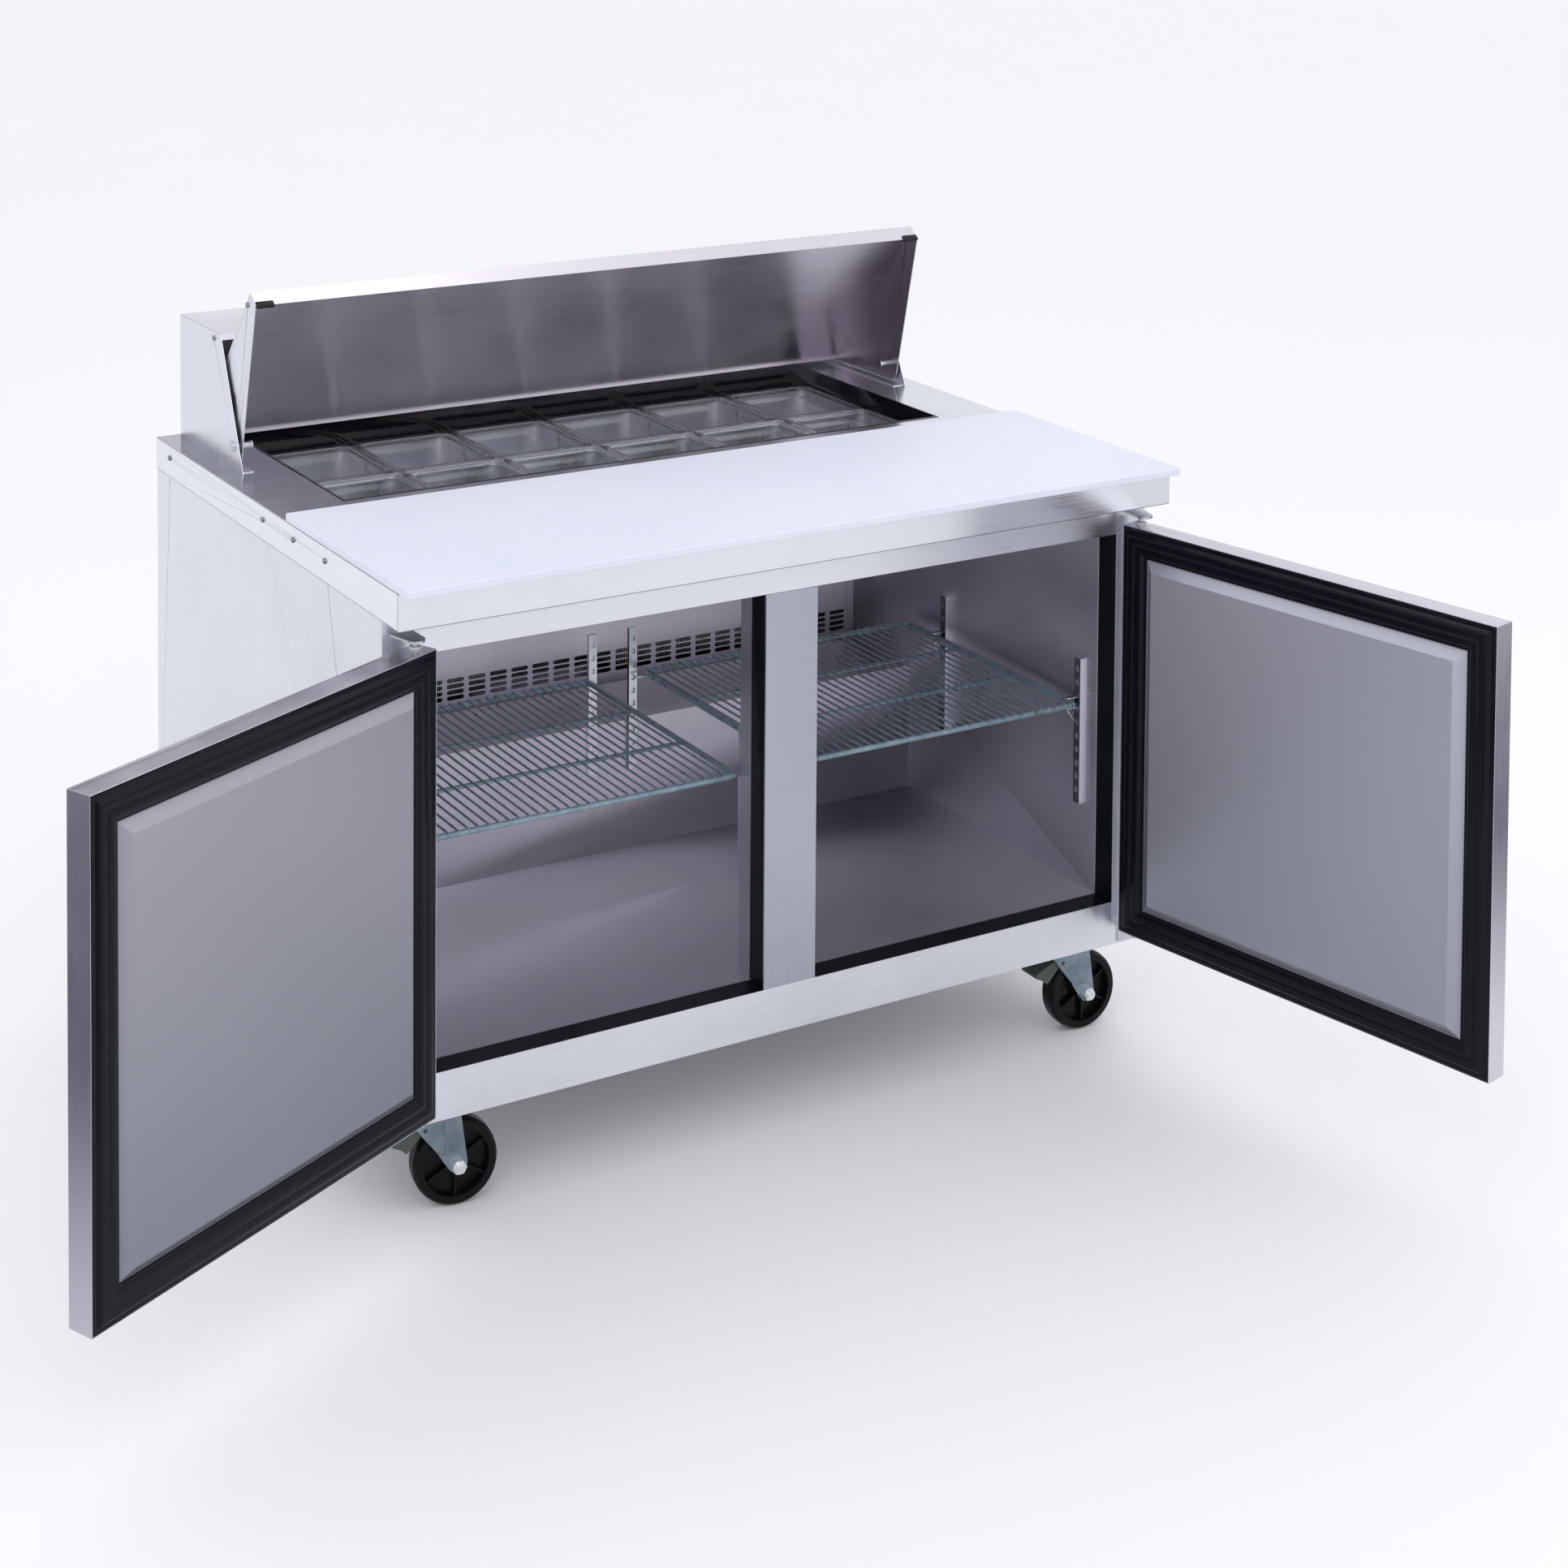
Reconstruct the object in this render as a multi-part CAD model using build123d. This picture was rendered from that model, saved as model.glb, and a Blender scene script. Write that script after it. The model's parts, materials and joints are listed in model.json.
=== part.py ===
from build123d import *
import math
import os

# A two-door refrigerated sandwich prep table on casters, drawn with its doors and its pan lid open.
# Layout axes in millimetres: X across (right is +), Y from front to back, Z up.  The layout is measured
# from the worktop: X = 0 on its centre line, Y = 0 at its front fascia, Z = 0 on its upper face.
# The finished part is moved once, at export, so that its origin is the centre of the cutting board's top.

# Worktop and body
TOP_HALF = 611.0             # half the worktop's width
TOP_DEPTH = 853.0
SHEET = 1.2                  # stainless sheet of the body
FASCIA = 47.4                # height of the worktop's turned-down edge
PANEL_X = 609.75             # outer face of the side panels
FRONT_Y = 52.2               # front face of the stiles and rails
BACK_Y = 851.75              # rear face of the back panel
BODY_BOTTOM = -703.5
OPENING_X = 559.0            # inner edge of the stiles
OPENING_TOP = -98.5
OPENING_BOTTOM = -640.5
MULLION_HALF = 41.5
MULLION_SET_BACK = 0.7
FLOOR_Z = -844.0

# Storage compartment
LINER_X = 551.0              # inner face of the side liners
LINER_FRONT = 82.0
LINER_BACK = 795.0
LINER_FLOOR = -637.0
LINER_CEILING = -61.0
STEP_Y = 545.0               # front of the step over the machine compartment
STEP_Z = -440.0
FOAM_FRONT = 87.0
MACHINE_Y = 590.0            # front of the machine compartment
MACHINE_TOP = -482.0

# Pan well
WELL_X = 503.5
WELL_FRONT = 408.0
WELL_BACK = 818.0
COLLAR = 3.0
LEDGE = 10.0
REST_Z = -28.5               # where the pan rims rest
BAR_THICK = 4.5
PAN_COLUMNS = 6
PAN_PITCH_X = 166.0
PAN_PITCH_Y = 175.0
PAN_WIDTH = 162.5
PAN_LENGTH = 174.0
PAN_RIM = 2.5
PAN_DEPTH = 100.0
PAN_WALL = 2.5
ROW_Y = (506.5, 681.5)       # centres of the front and rear rows of pans

# Cutting board
BOARD_FRONT = -25.0
BOARD_BACK = 359.0
BOARD_THICK = 10.0

# Hood and lid, as outlines in Y and Z
HOOD_X = 576.0
HOOD_FRONT = 680.0
HOOD_BACK = 843.6
HOOD_TOP = 183.8
HOOD_LIP = 7.8
LID_X = 571.0
LID_PIVOT = (630.0, 33.0)
LID_EDGE = (559.2, 248.6)    # free edge of the open lid
LID_FOLD = (579.0, 264.4)
LID_HEEL = (780.6, 12.0)
LID_HEM = (776.7, 8.9)
LID_FOOT = (615.3, 5.0)      # lower front corner of the cheeks
LID_PIN = 4.0

# Doors, drawn closed and then swung about their pins
DOOR_INNER_EDGE = 2.0
DOOR_OUTER_EDGE = 592.0
DOOR_FRONT = 10.0
DOOR_BACK = 46.2
DOOR_TOP = -77.6
DOOR_BOTTOM = -672.6
DOOR_SHEET = 1.0
HINGE_X = 578.5
HINGE_Y = 22.4
HINGE_PIN = 3.5
BUSH_RADIUS = 5.5
BUSH_COLLAR = 8.0
LEFT_DOOR_OPEN = 154.8
RIGHT_DOOR_OPEN = 102.1

# Shelves
SHELF_INNER = 45.0
SHELF_OUTER = 542.0
SHELF_FRONT = 110.0
SHELF_BACK = 535.0
SHELF_RAIL_Z = -365.0
SHELF_RAIL = 4.0             # radius of the frame wire
SHELF_WIRE = 1.7             # radius of the deck wires
SHELF_PITCH = 15.0

# Casters
STEM_X = 514.0
STEM_FRONT = 110.0
STEM_BACK = 745.0
TRAIL = 31.0
WHEEL_RADIUS = 57.5
WHEEL_HALF = 14.0
HUB_HALF = 16.0
AXLE_RADIUS = 6.0
LEG_INNER = 17.5
LEG_THICK = 3.0
AXLE_Z = FLOOR_Z + WHEEL_RADIUS
PLATE_TOP = BODY_BOTTOM + SHEET + 0.05
PLATE_BOTTOM = PLATE_TOP - 3.0
RACE_BOTTOM = PLATE_BOTTOM - 6.0
FORK_TOP = RACE_BOTTOM - 0.15
FORK_CROWN = 5.0             # thickness of the fork's crown plate
PEDAL_PIVOT = (-14.0, -733.0)   # from the stem, in X and Z
CASTERS = {
    "front_left": (-STEM_X, STEM_FRONT, -7.4),
    "front_right": (STEM_X, STEM_FRONT, -1.2),
    "rear_left": (-STEM_X, STEM_BACK, 0.0),
    "rear_right": (STEM_X, STEM_BACK, 0.0),
}

GAP = 0.05                   # running and assembly clearance


# ---------------------------------------------------------------- helpers

def block(x0, x1, y0, y1, z0, z1):
    """A box between two opposite corners."""
    return Pos((x0 + x1) / 2, (y0 + y1) / 2, (z0 + z1) / 2) * Box(x1 - x0, y1 - y0, z1 - z0)


def outline(points):
    return make_face(Polyline(*points, close=True))


def prism_x(points, x0, x1):
    """A Y-Z outline drawn out along X."""
    return Pos(x0, 0, 0) * extrude(Plane.YZ * outline(points), x1 - x0)


def prism_y(points, y0, y1):
    """An X-Z outline drawn out along Y."""
    return Pos(0, y1, 0) * extrude(Plane.XZ * outline(points), y1 - y0)


def prism_z(points, z0, z1):
    """An X-Y outline drawn out along Z."""
    return Pos(0, 0, z0) * extrude(outline(points), z1 - z0)


def rod_x(radius, x0, x1, y, z):
    return Pos((x0 + x1) / 2, y, z) * Rot(0, 90, 0) * Cylinder(radius, x1 - x0)


def rod_y(radius, y0, y1, x, z):
    return Pos(x, (y0 + y1) / 2, z) * Rot(90, 0, 0) * Cylinder(radius, y1 - y0)


def rod_z(radius, z0, z1, x, y):
    return Pos(x, y, (z0 + z1) / 2) * Cylinder(radius, z1 - z0)


def hex_y(flats, y0, y1, x, z):
    """A hexagonal nut or bolt head with its axis along Y."""
    head = extrude(Plane.XZ * RegularPolygon(flats / math.sqrt(3), 6), y1 - y0)
    return Pos(x, y1, z) * head


def ribbon(path, thickness):
    """Outline of a folded sheet: the path, and the path moved to its right by the thickness."""
    normals = []
    for (u0, v0), (u1, v1) in zip(path, path[1:]):
        length = math.hypot(u1 - u0, v1 - v0)
        normals.append(((v1 - v0) / length, (u0 - u1) / length))
    moved = []
    for i, (u, v) in enumerate(path):
        a = normals[max(i - 1, 0)]
        b = normals[min(i, len(normals) - 1)]
        reach = thickness / (1 + a[0] * b[0] + a[1] * b[1])
        moved.append((u + (a[0] + b[0]) * reach, v + (a[1] + b[1]) * reach))
    return list(path) + moved[::-1]


def both(shape):
    """A shape and its mirror image across the centre line."""
    return [shape, mirror(shape, about=Plane.YZ)]


def group(shapes):
    """Separate solids in one node."""
    solids = [solid for shape in shapes for solid in shape.solids()]
    return Compound(children=solids)


def swing(shape, x, y, angle):
    """Turn a shape about a vertical line."""
    return Pos(x, y, 0) * Rot(0, 0, angle) * Pos(-x, -y, 0) * shape


# ---------------------------------------------------------------- screws

SCREW_SHANK = 2.0
FLANGE_SCREWS = [(y, -19.0) for y in (226.0, 331.0, 437.0, 796.0)]
HOOD_SIDE_SCREW = (705.0, 175.0)
HOOD_BACK_SCREW = (560.0, 44.0)
LID_SCREW = (588.5, 244.6)
PLATE_BOLT = 4.0
PLATE_BOLT_X = 35.0
PLATE_BOLT_Y = 25.0


def screw_x(x, y, z, head, length):
    """Domed screw on a face that looks along +X."""
    dome = fillet(rod_x(head, x, x + 2.4, y, z).faces().sort_by(Axis.X)[-1].edges(), 1.5)
    return dome + rod_x(SCREW_SHANK, x - length, x + 0.2, y, z)


def plate_bolt_places():
    places = []
    for x, y, _ in CASTERS.values():
        for dx in (-PLATE_BOLT_X, PLATE_BOLT_X):
            for dy in (-PLATE_BOLT_Y, PLATE_BOLT_Y):
                places.append((x + dx, y + dy))
    return places


def sheet_screws():
    screws = []
    for y, z in FLANGE_SCREWS:
        screws += both(screw_x(TOP_HALF, y, z, 4.0, 2.4))
    y, z = HOOD_SIDE_SCREW
    screws += both(screw_x(HOOD_X, y, z, 4.0, 2.4))
    x, z = HOOD_BACK_SCREW
    back = rod_y(4.0, HOOD_BACK, HOOD_BACK + 2.4, x, z) + rod_y(SCREW_SHANK, HOOD_BACK - 1.2, HOOD_BACK, x, z)
    screws += both(back)
    for x, y in plate_bolt_places():
        head = Pos(x, y, PLATE_BOTTOM - 5.3) * extrude(RegularPolygon(7.5, 6), 5.3)
        screws.append(head + rod_z(PLATE_BOLT, PLATE_BOTTOM, PLATE_TOP + 2.0, x, y))
    return group(screws)


def lid_screws():
    y, z = LID_SCREW
    return group(both(screw_x(LID_X, y, z, 4.0, SHEET)))


# ---------------------------------------------------------------- body

def worktop():
    """Folded sheet with a fascia all round, a hem along the front and the opening for the pans."""
    top = block(-TOP_HALF, TOP_HALF, 0, TOP_DEPTH, -FASCIA, 0)
    rim = [e for e in top.edges() if e.center().Z > -1e-3]
    top = fillet(rim, 1.4)
    inner = TOP_HALF - SHEET
    top -= block(-inner, inner, SHEET, TOP_DEPTH - SHEET, -FASCIA - 1, -SHEET)
    hem = block(-inner, inner, SHEET, 14, -FASCIA, -FASCIA + SHEET)
    top = top + hem - block(-WELL_X, WELL_X, WELL_FRONT, WELL_BACK, -5, 5)
    for y, z in FLANGE_SCREWS:
        top -= rod_x(SCREW_SHANK + GAP, -TOP_HALF - 1, TOP_HALF + 1, y, z)
    return top


def side_panels():
    """Side, front stile and rear return folded from one sheet on each side."""
    path = [(589, BACK_Y), (PANEL_X, BACK_Y), (PANEL_X, FRONT_Y), (OPENING_X, FRONT_Y)]
    panel = prism_z(ribbon(path, SHEET), BODY_BOTTOM, -SHEET - 0.3)
    inner = PANEL_X - SHEET
    panel += block(inner - 20, inner, FRONT_Y + SHEET, BACK_Y - SHEET, BODY_BOTTOM, BODY_BOTTOM + SHEET)
    for y, z in FLANGE_SCREWS:
        panel -= rod_x(SCREW_SHANK + GAP, inner - 1, PANEL_X + 1, y, z)
    return group(both(panel))


def front_rails():
    width = OPENING_X - GAP
    top = prism_x(ribbon([(FRONT_Y, OPENING_TOP), (FRONT_Y, -3), (74, -3)], SHEET), -width, width)
    path = [(72, BODY_BOTTOM), (FRONT_Y, BODY_BOTTOM), (FRONT_Y, OPENING_BOTTOM)]
    return group([top, prism_x(ribbon(path, SHEET), -width, width)])


def centre_mullion():
    half = MULLION_HALF
    face = FRONT_Y + MULLION_SET_BACK
    path = [(half, 56), (half, face), (-half, face), (-half, 56)]
    return prism_z(ribbon(path, SHEET), OPENING_BOTTOM, OPENING_TOP - MULLION_SET_BACK)


def breaker_strips():
    """Plastic strips that part the cold liner from the outer sheet round each door opening."""
    front = FRONT_Y + SHEET + 0.1
    top_z = LINER_CEILING - 0.1
    side = prism_z([(559.2, front), (552.1, FOAM_FRONT), (575, FOAM_FRONT), (575, front)], -655, top_z)
    post = prism_z([(41.4, 56.1), (42.4, 86.9), (30, 86.9), (30, 56.1)], LINER_FLOOR + 0.1, top_z)
    rear = LINER_FRONT - 0.1
    bottom = prism_x([(front, -641), (rear, LINER_FLOOR), (rear, -655), (front, -655)], 30, 565)
    top = prism_x([(front, -98.4), (rear, -95), (rear, top_z), (front, top_z)], 30, 565)
    strips = []
    for strip in (side, post, bottom - side - post, top - side - post):
        strips += both(strip)
    return group(strips)


def cabinet_liner():
    """Inner sheets of the storage compartment, and the cover behind the mullion."""
    x = LINER_X
    side = [(LINER_FRONT, LINER_FLOOR - 1), (STEP_Y + 1, LINER_FLOOR - 1), (STEP_Y + 1, STEP_Z - 1),
            (LINER_BACK + 1, STEP_Z - 1), (LINER_BACK + 1, LINER_CEILING + 1), (LINER_FRONT, LINER_CEILING + 1)]
    sheets = both(prism_x(side, x, x + 1))
    sheets.append(block(-x, x, LINER_FRONT, STEP_Y, LINER_FLOOR - 1, LINER_FLOOR))
    sheets.append(block(-x, x, STEP_Y, STEP_Y + 1, LINER_FLOOR - 1, STEP_Z))
    sheets.append(block(-x, x, STEP_Y + 1, LINER_BACK + 1, STEP_Z - 1, STEP_Z))
    sheets.append(block(-x, x, LINER_BACK, LINER_BACK + 1, STEP_Z, -39))
    sheets.append(block(-x, x, LINER_FRONT, 402, LINER_CEILING, LINER_CEILING + 1))
    sheets += both(block(511, x, 402, LINER_BACK, LINER_CEILING, LINER_CEILING + 1))
    sheets.append(block(-511, 511, 402, 403, LINER_CEILING, -38))
    sheets += both(block(511, 512, 403, LINER_BACK, LINER_CEILING + 1, -38))
    sheets += both(block(41.5, 42.5, 87, 113, LINER_FLOOR, LINER_CEILING))
    sheets.append(block(-42.5, 42.5, 113, 114, LINER_FLOOR, LINER_CEILING))
    return group(sheets)


def cabinet_foam():
    """Insulation between the liner and the outer sheets, foamed in place, and the mullion's core."""
    wide = PANEL_X - SHEET - GAP
    back = BACK_Y - SHEET - GAP
    top = -SHEET - 0.8
    foam_x = LINER_X + 1
    bottom = PLATE_TOP + 2.0 + GAP
    side = prism_x([(FOAM_FRONT, top), (back, top), (back, MACHINE_TOP), (MACHINE_Y, MACHINE_TOP),
                    (MACHINE_Y, bottom), (FOAM_FRONT, bottom)], foam_x, wide)
    parts = both(side)
    parts.append(block(-foam_x, foam_x, FOAM_FRONT, MACHINE_Y, bottom, LINER_FLOOR - 1))
    parts.append(block(-foam_x, foam_x, STEP_Y + 1, MACHINE_Y, LINER_FLOOR - 1, STEP_Z - 1))
    parts.append(block(-foam_x, foam_x, MACHINE_Y, back, MACHINE_TOP, STEP_Z - 1))
    parts.append(block(-foam_x, foam_x, LINER_BACK + 1, back, STEP_Z - 1, -40))
    parts.append(block(-foam_x, foam_x, FOAM_FRONT, 402, LINER_CEILING + 1, top))
    parts += both(block(512, foam_x, 402, LINER_BACK, LINER_CEILING + 1, top))
    foam = parts[0]
    for part in parts[1:]:
        foam += part
    for y, z in FLANGE_SCREWS:
        foam -= rod_x(SCREW_SHANK + 1, -wide, -wide + 2, y, z) + rod_x(SCREW_SHANK + 1, wide - 2, wide, y, z)
    core_front = FRONT_Y + MULLION_SET_BACK + SHEET
    core = block(-29.9, 29.9, core_front, 86.9, LINER_FLOOR + 0.1, LINER_CEILING - 0.1)
    core += block(-41.4, 41.4, 86.9, 112.9, LINER_FLOOR + 0.1, LINER_CEILING - 0.1)
    return group([foam, core])


def base_pan():
    wide = PANEL_X - SHEET - GAP
    pan = block(-wide, wide, FRONT_Y + SHEET + 0.1, BACK_Y - SHEET - GAP, PLATE_TOP, PLATE_TOP + 2)
    for x, y in plate_bolt_places():
        pan -= rod_z(PLATE_BOLT + GAP, PLATE_TOP - 1, PLATE_TOP + 3, x, y)
    return pan


def back_panel():
    return block(-588.9, 588.9, BACK_Y - SHEET, BACK_Y, MACHINE_TOP, -FASCIA - 1)


CONTROLLER_X = (430.0, 510.0)
CONTROLLER_Z = (-560.0, -520.0)
CORD_X = 480.0
CORD_Z = -668.0
CORD_RADIUS = 4.0


def machine_grille():
    """Louvred cover of the machine compartment."""
    grille = block(-588.9, 588.9, BACK_Y - SHEET, BACK_Y, BODY_BOTTOM + SHEET + 0.1, MACHINE_TOP - 0.5)
    slots = [
        Pos(x, z) * SlotOverall(96, 7)
        for x in (-480, -360, -240, -120, 0, 120, 240, 360)
        for z in range(-670, -510, 20)
    ]
    cut = extrude(Plane.XZ * Compound(children=slots), 20, both=True)
    grille -= Pos(0, BACK_Y, 0) * cut
    x0, x1 = CONTROLLER_X
    z0, z1 = CONTROLLER_Z
    grille -= block(x0, x1, BACK_Y - 5, BACK_Y + 5, z0, z1)
    return grille - rod_y(CORD_RADIUS + 3.05, BACK_Y - 5, BACK_Y + 5, CORD_X, CORD_Z)


# ---------------------------------------------------------------- pan well

def well_collar():
    """Black collar round the pan opening, mitred at its corners, with the ledge that carries the rims."""
    z_ledge = REST_Z - BAR_THICK
    centre_y = (WELL_FRONT + WELL_BACK) / 2
    length = WELL_BACK - WELL_FRONT - 0.2
    width = 2 * WELL_X - 0.2
    collar = Pos(0, centre_y, (z_ledge + 0.8) / 2) * Box(width, length, 0.8 - z_ledge)
    collar -= Pos(0, centre_y, 0) * Box(width - 2 * COLLAR, length - 2 * COLLAR, 200)
    ledge = Pos(0, centre_y, z_ledge + BAR_THICK / 2) * Box(width, length, BAR_THICK)
    ledge -= Pos(0, centre_y, 0) * Box(width - 2 * COLLAR - 2 * LEDGE, length - 2 * COLLAR - 2 * LEDGE, 200)
    ring = collar + ledge
    reach = 400
    x, y0, y1 = WELL_X, WELL_FRONT, WELL_BACK
    front = prism_z([(-x, y0), (x, y0), (x - reach, y0 + reach), (-x + reach, y0 + reach)], -60, 60)
    back = prism_z([(x, y1), (-x, y1), (-x + reach, y1 - reach), (x - reach, y1 - reach)], -60, 60)
    middle = block(-200, 200, y0, y1, -60, 60)
    front -= block(-x, x, centre_y, y1 + reach, -60, 60)
    back -= block(-x, x, y0 - reach, centre_y, -60, 60)
    sides = ring - front - back - middle
    return group([ring & front, ring & back, sides])


DUCT_FRONT = 764.0
DUCT_BACK = WELL_BACK - COLLAR - 0.2
BAR_HALF = 6.0


def column_lines():
    """X of the lines between neighbouring pans."""
    return [(i - PAN_COLUMNS / 2) * PAN_PITCH_X for i in range(1, PAN_COLUMNS)]


def column_centres():
    return [(i - (PAN_COLUMNS - 1) / 2) * PAN_PITCH_X for i in range(PAN_COLUMNS)]


def air_duct_strip():
    """Cold air outlets behind the pans, one to a column, with raised ribs between them."""
    edge = WELL_X - COLLAR - 0.3
    centre = (DUCT_FRONT + DUCT_BACK - LEDGE) / 2
    strip = block(-edge, edge, DUCT_FRONT, DUCT_BACK - LEDGE, REST_Z - BAR_THICK, REST_Z)
    strip -= block(-WELL_X, -edge + LEDGE, 700, 900, REST_Z - 9, REST_Z + 9)
    strip -= block(edge - LEDGE, WELL_X, 700, 900, REST_Z - 9, REST_Z + 9)
    strip += block(-edge, edge, 772, DUCT_BACK, REST_Z + 0.1, REST_Z + 2.6)
    strip += block(-edge + LEDGE, edge - LEDGE, 772, DUCT_BACK - LEDGE, REST_Z - 1, REST_Z + 1)
    for x in column_centres():
        outlet = extrude(Pos(x, centre + 4) * RectangleRounded(138, 24, 11), 30, both=True)
        strip -= Pos(0, 0, REST_Z) * outlet
    for x in column_lines():
        for side in (-5, 5):
            strip += block(x + side - 1, x + side + 1, 774, DUCT_BACK - 3, REST_Z + 2.6, REST_Z + 4.2)
    return strip


def pan_bars():
    """Steel bars that carry the pan rims between the collar's ledges."""
    low = REST_Z - BAR_THICK
    y_line = (ROW_Y[0] + ROW_Y[1]) / 2
    x_end = WELL_X - COLLAR - LEDGE - 0.3
    y_front = WELL_FRONT + COLLAR + LEDGE + 0.3
    bars = [block(-x_end, x_end, y_line - BAR_HALF, y_line + BAR_HALF, low, REST_Z)]
    for x in column_lines():
        bars.append(block(x - BAR_HALF, x + BAR_HALF, y_front, y_line - BAR_HALF, low, REST_Z))
        bars.append(block(x - BAR_HALF, x + BAR_HALF, y_line + BAR_HALF, DUCT_FRONT - 0.3, low, REST_Z))
    return group(bars)


def food_pan():
    """Clear pan with rounded corners, drawn in sides and a flat rim, centred under its rim."""
    width = PAN_WIDTH - 13
    length = PAN_LENGTH - 13
    taper = 14
    foot_r = 26

    def cup(inset, z_top, z_foot):
        mouth = RectangleRounded(width - 2 * inset, length - 2 * inset, 18)
        foot = RectangleRounded(width - taper - 2 * inset, length - taper - 2 * inset, foot_r)
        return loft([Pos(0, 0, z_foot) * foot, Pos(0, 0, z_top) * mouth])

    body = cup(0, PAN_RIM, -PAN_DEPTH) + extrude(RectangleRounded(PAN_WIDTH, PAN_LENGTH, 14), PAN_RIM)
    bead = extrude(RectangleRounded(width + 3, length + 3, 19), PAN_RIM + 1)
    return body + bead - cup(PAN_WALL, PAN_RIM + 2, PAN_WALL - PAN_DEPTH)


def pans(row_y):
    pan = food_pan()
    return group([Pos(x, row_y, REST_Z) * pan for x in column_centres()])


def cutting_board():
    board = block(-TOP_HALF, TOP_HALF, BOARD_FRONT, BOARD_BACK, 0, BOARD_THICK)
    corners = board.edges().filter_by(Axis.Z)
    board = fillet(corners, 4)
    rims = [e for e in board.edges() if e.center().Z > BOARD_THICK - 0.01 or e.center().Z < 0.01]
    return fillet(rims, 1.5)


# ---------------------------------------------------------------- hood and lid

def hood_housing():
    """Roof and back of the fixed hood, with a tab at each end for the side screws."""
    path = [(HOOD_FRONT, HOOD_TOP - HOOD_LIP), (HOOD_FRONT, HOOD_TOP), (HOOD_BACK, HOOD_TOP), (HOOD_BACK, 0)]
    end = HOOD_X - SHEET - GAP
    hood = prism_x(ribbon(path, SHEET), -end, end)
    y, z = HOOD_SIDE_SCREW
    tab = block(end - SHEET, end, y - 15, y + 15, z - 12, HOOD_TOP - SHEET / 2)
    for part in both(tab):
        hood += part
    hood -= rod_x(SCREW_SHANK + GAP, -HOOD_X, HOOD_X, y, z)
    x, z = HOOD_BACK_SCREW
    for side in (-x, x):
        hood -= rod_y(SCREW_SHANK + GAP, HOOD_BACK - 5, HOOD_BACK + 5, side, z)
    return hood


def hood_sides():
    """End plates of the hood, each with a foot turned inward on the worktop."""
    points = [(595, 0), (HOOD_FRONT, HOOD_TOP), (HOOD_BACK, HOOD_TOP), (HOOD_BACK, 0)]
    plate = prism_x(points, HOOD_X - SHEET, HOOD_X)
    foot = block(HOOD_X - 20, HOOD_X - SHEET, 602, HOOD_BACK - SHEET - GAP, 0, SHEET)
    y, z = HOOD_SIDE_SCREW
    holes = rod_x(LID_PIN + 0.02, HOOD_X - 5, HOOD_X + 5, *LID_PIVOT)
    holes += rod_x(SCREW_SHANK + GAP, HOOD_X - 5, HOOD_X + 5, y, z)
    return group(both(plate + foot - holes))


def lid_pivot_pins():
    y, z = LID_PIVOT
    pin = rod_x(7.5, HOOD_X, HOOD_X + 3.5, y, z) + rod_x(LID_PIN, 551, HOOD_X, y, z)
    pin += rod_x(5.5, 548, 551, y, z)
    return group(both(pin))


def lid_panel():
    path = [LID_EDGE, LID_FOLD, LID_HEEL, LID_HEM]
    end = LID_X - SHEET - GAP
    return prism_x(ribbon(path, SHEET), -end, end)


def lid_cheeks():
    corners = [LID_EDGE, LID_FOLD, LID_HEEL, LID_HEM, (745, LID_FOOT[1]), LID_FOOT]
    cheek = prism_x(corners, LID_X - SHEET, LID_X)
    foot = [e for e in cheek.edges().filter_by(Axis.X) if abs(e.center().Y - LID_FOOT[0]) < 0.1]
    cheek = fillet(foot, 18)
    cheek -= rod_x(LID_PIN + GAP, LID_X - 5, LID_X + 5, *LID_PIVOT)
    y, z = LID_SCREW
    return group(both(cheek - rod_x(SCREW_SHANK + GAP, LID_X - 5, LID_X + 5, y, z)))


def lid_bumpers():
    """Rubber feet slotted over the ends of the lid's free edge."""
    (y0, z0), (y1, z1) = LID_EDGE, LID_FOLD
    length = math.hypot(y1 - y0, z1 - z0)
    along = ((y0 - y1) / length, (z0 - z1) / length)
    inward = (-along[1], along[0])

    def at(reach, depth):
        return (y0 + along[0] * reach + inward[0] * depth, z0 + along[1] * reach + inward[1] * depth)

    skin = 2.5
    body = prism_x([at(-12, -skin), at(10, -skin), at(10, SHEET + skin), at(-12, SHEET + skin)], 543, 569.6)
    slot = prism_x([at(-20, -0.02), at(0.02, -0.02), at(0.02, SHEET + 0.02), at(-20, SHEET + 0.02)], 540, 575)
    return group(both(body - slot))


# ---------------------------------------------------------------- doors

BRACKET_X = (569.0, 603.0)
BRACKET_TIP = (580.0, 18.4, 12.5)   # centre and radius of the arm's rounded end
TOP_PLATE = (-67.5, -64.5)
BOTTOM_PLATE = (-680.0, -677.0)
PIN_TOP_END = -95.0
PIN_BOTTOM_END = -655.0


def hinge_bracket(plate, flange, pin):
    """Angle on the stile with a tapering, rounded arm that carries the door's pin."""
    x0, x1 = BRACKET_X
    z0, z1 = plate
    tip_x, tip_y, radius = BRACKET_TIP
    arm = prism_z([(x0, FRONT_Y), (x1, FRONT_Y), (tip_x + radius, tip_y), (tip_x - radius, tip_y)], z0, z1)
    arm += rod_z(radius, z0, z1, tip_x, tip_y)
    arm += block(x0, x1, FRONT_Y - 3, FRONT_Y, min(z0, flange), max(z1, flange))
    return arm + rod_z(HINGE_PIN, min(pin, z0), max(pin, z1), HINGE_X, HINGE_Y)


def hinge_brackets():
    top = hinge_bracket(TOP_PLATE, -25.0, PIN_TOP_END)
    bottom = hinge_bracket(BOTTOM_PLATE, -700.0, PIN_BOTTOM_END)
    return group(both(top) + both(bottom))


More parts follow.
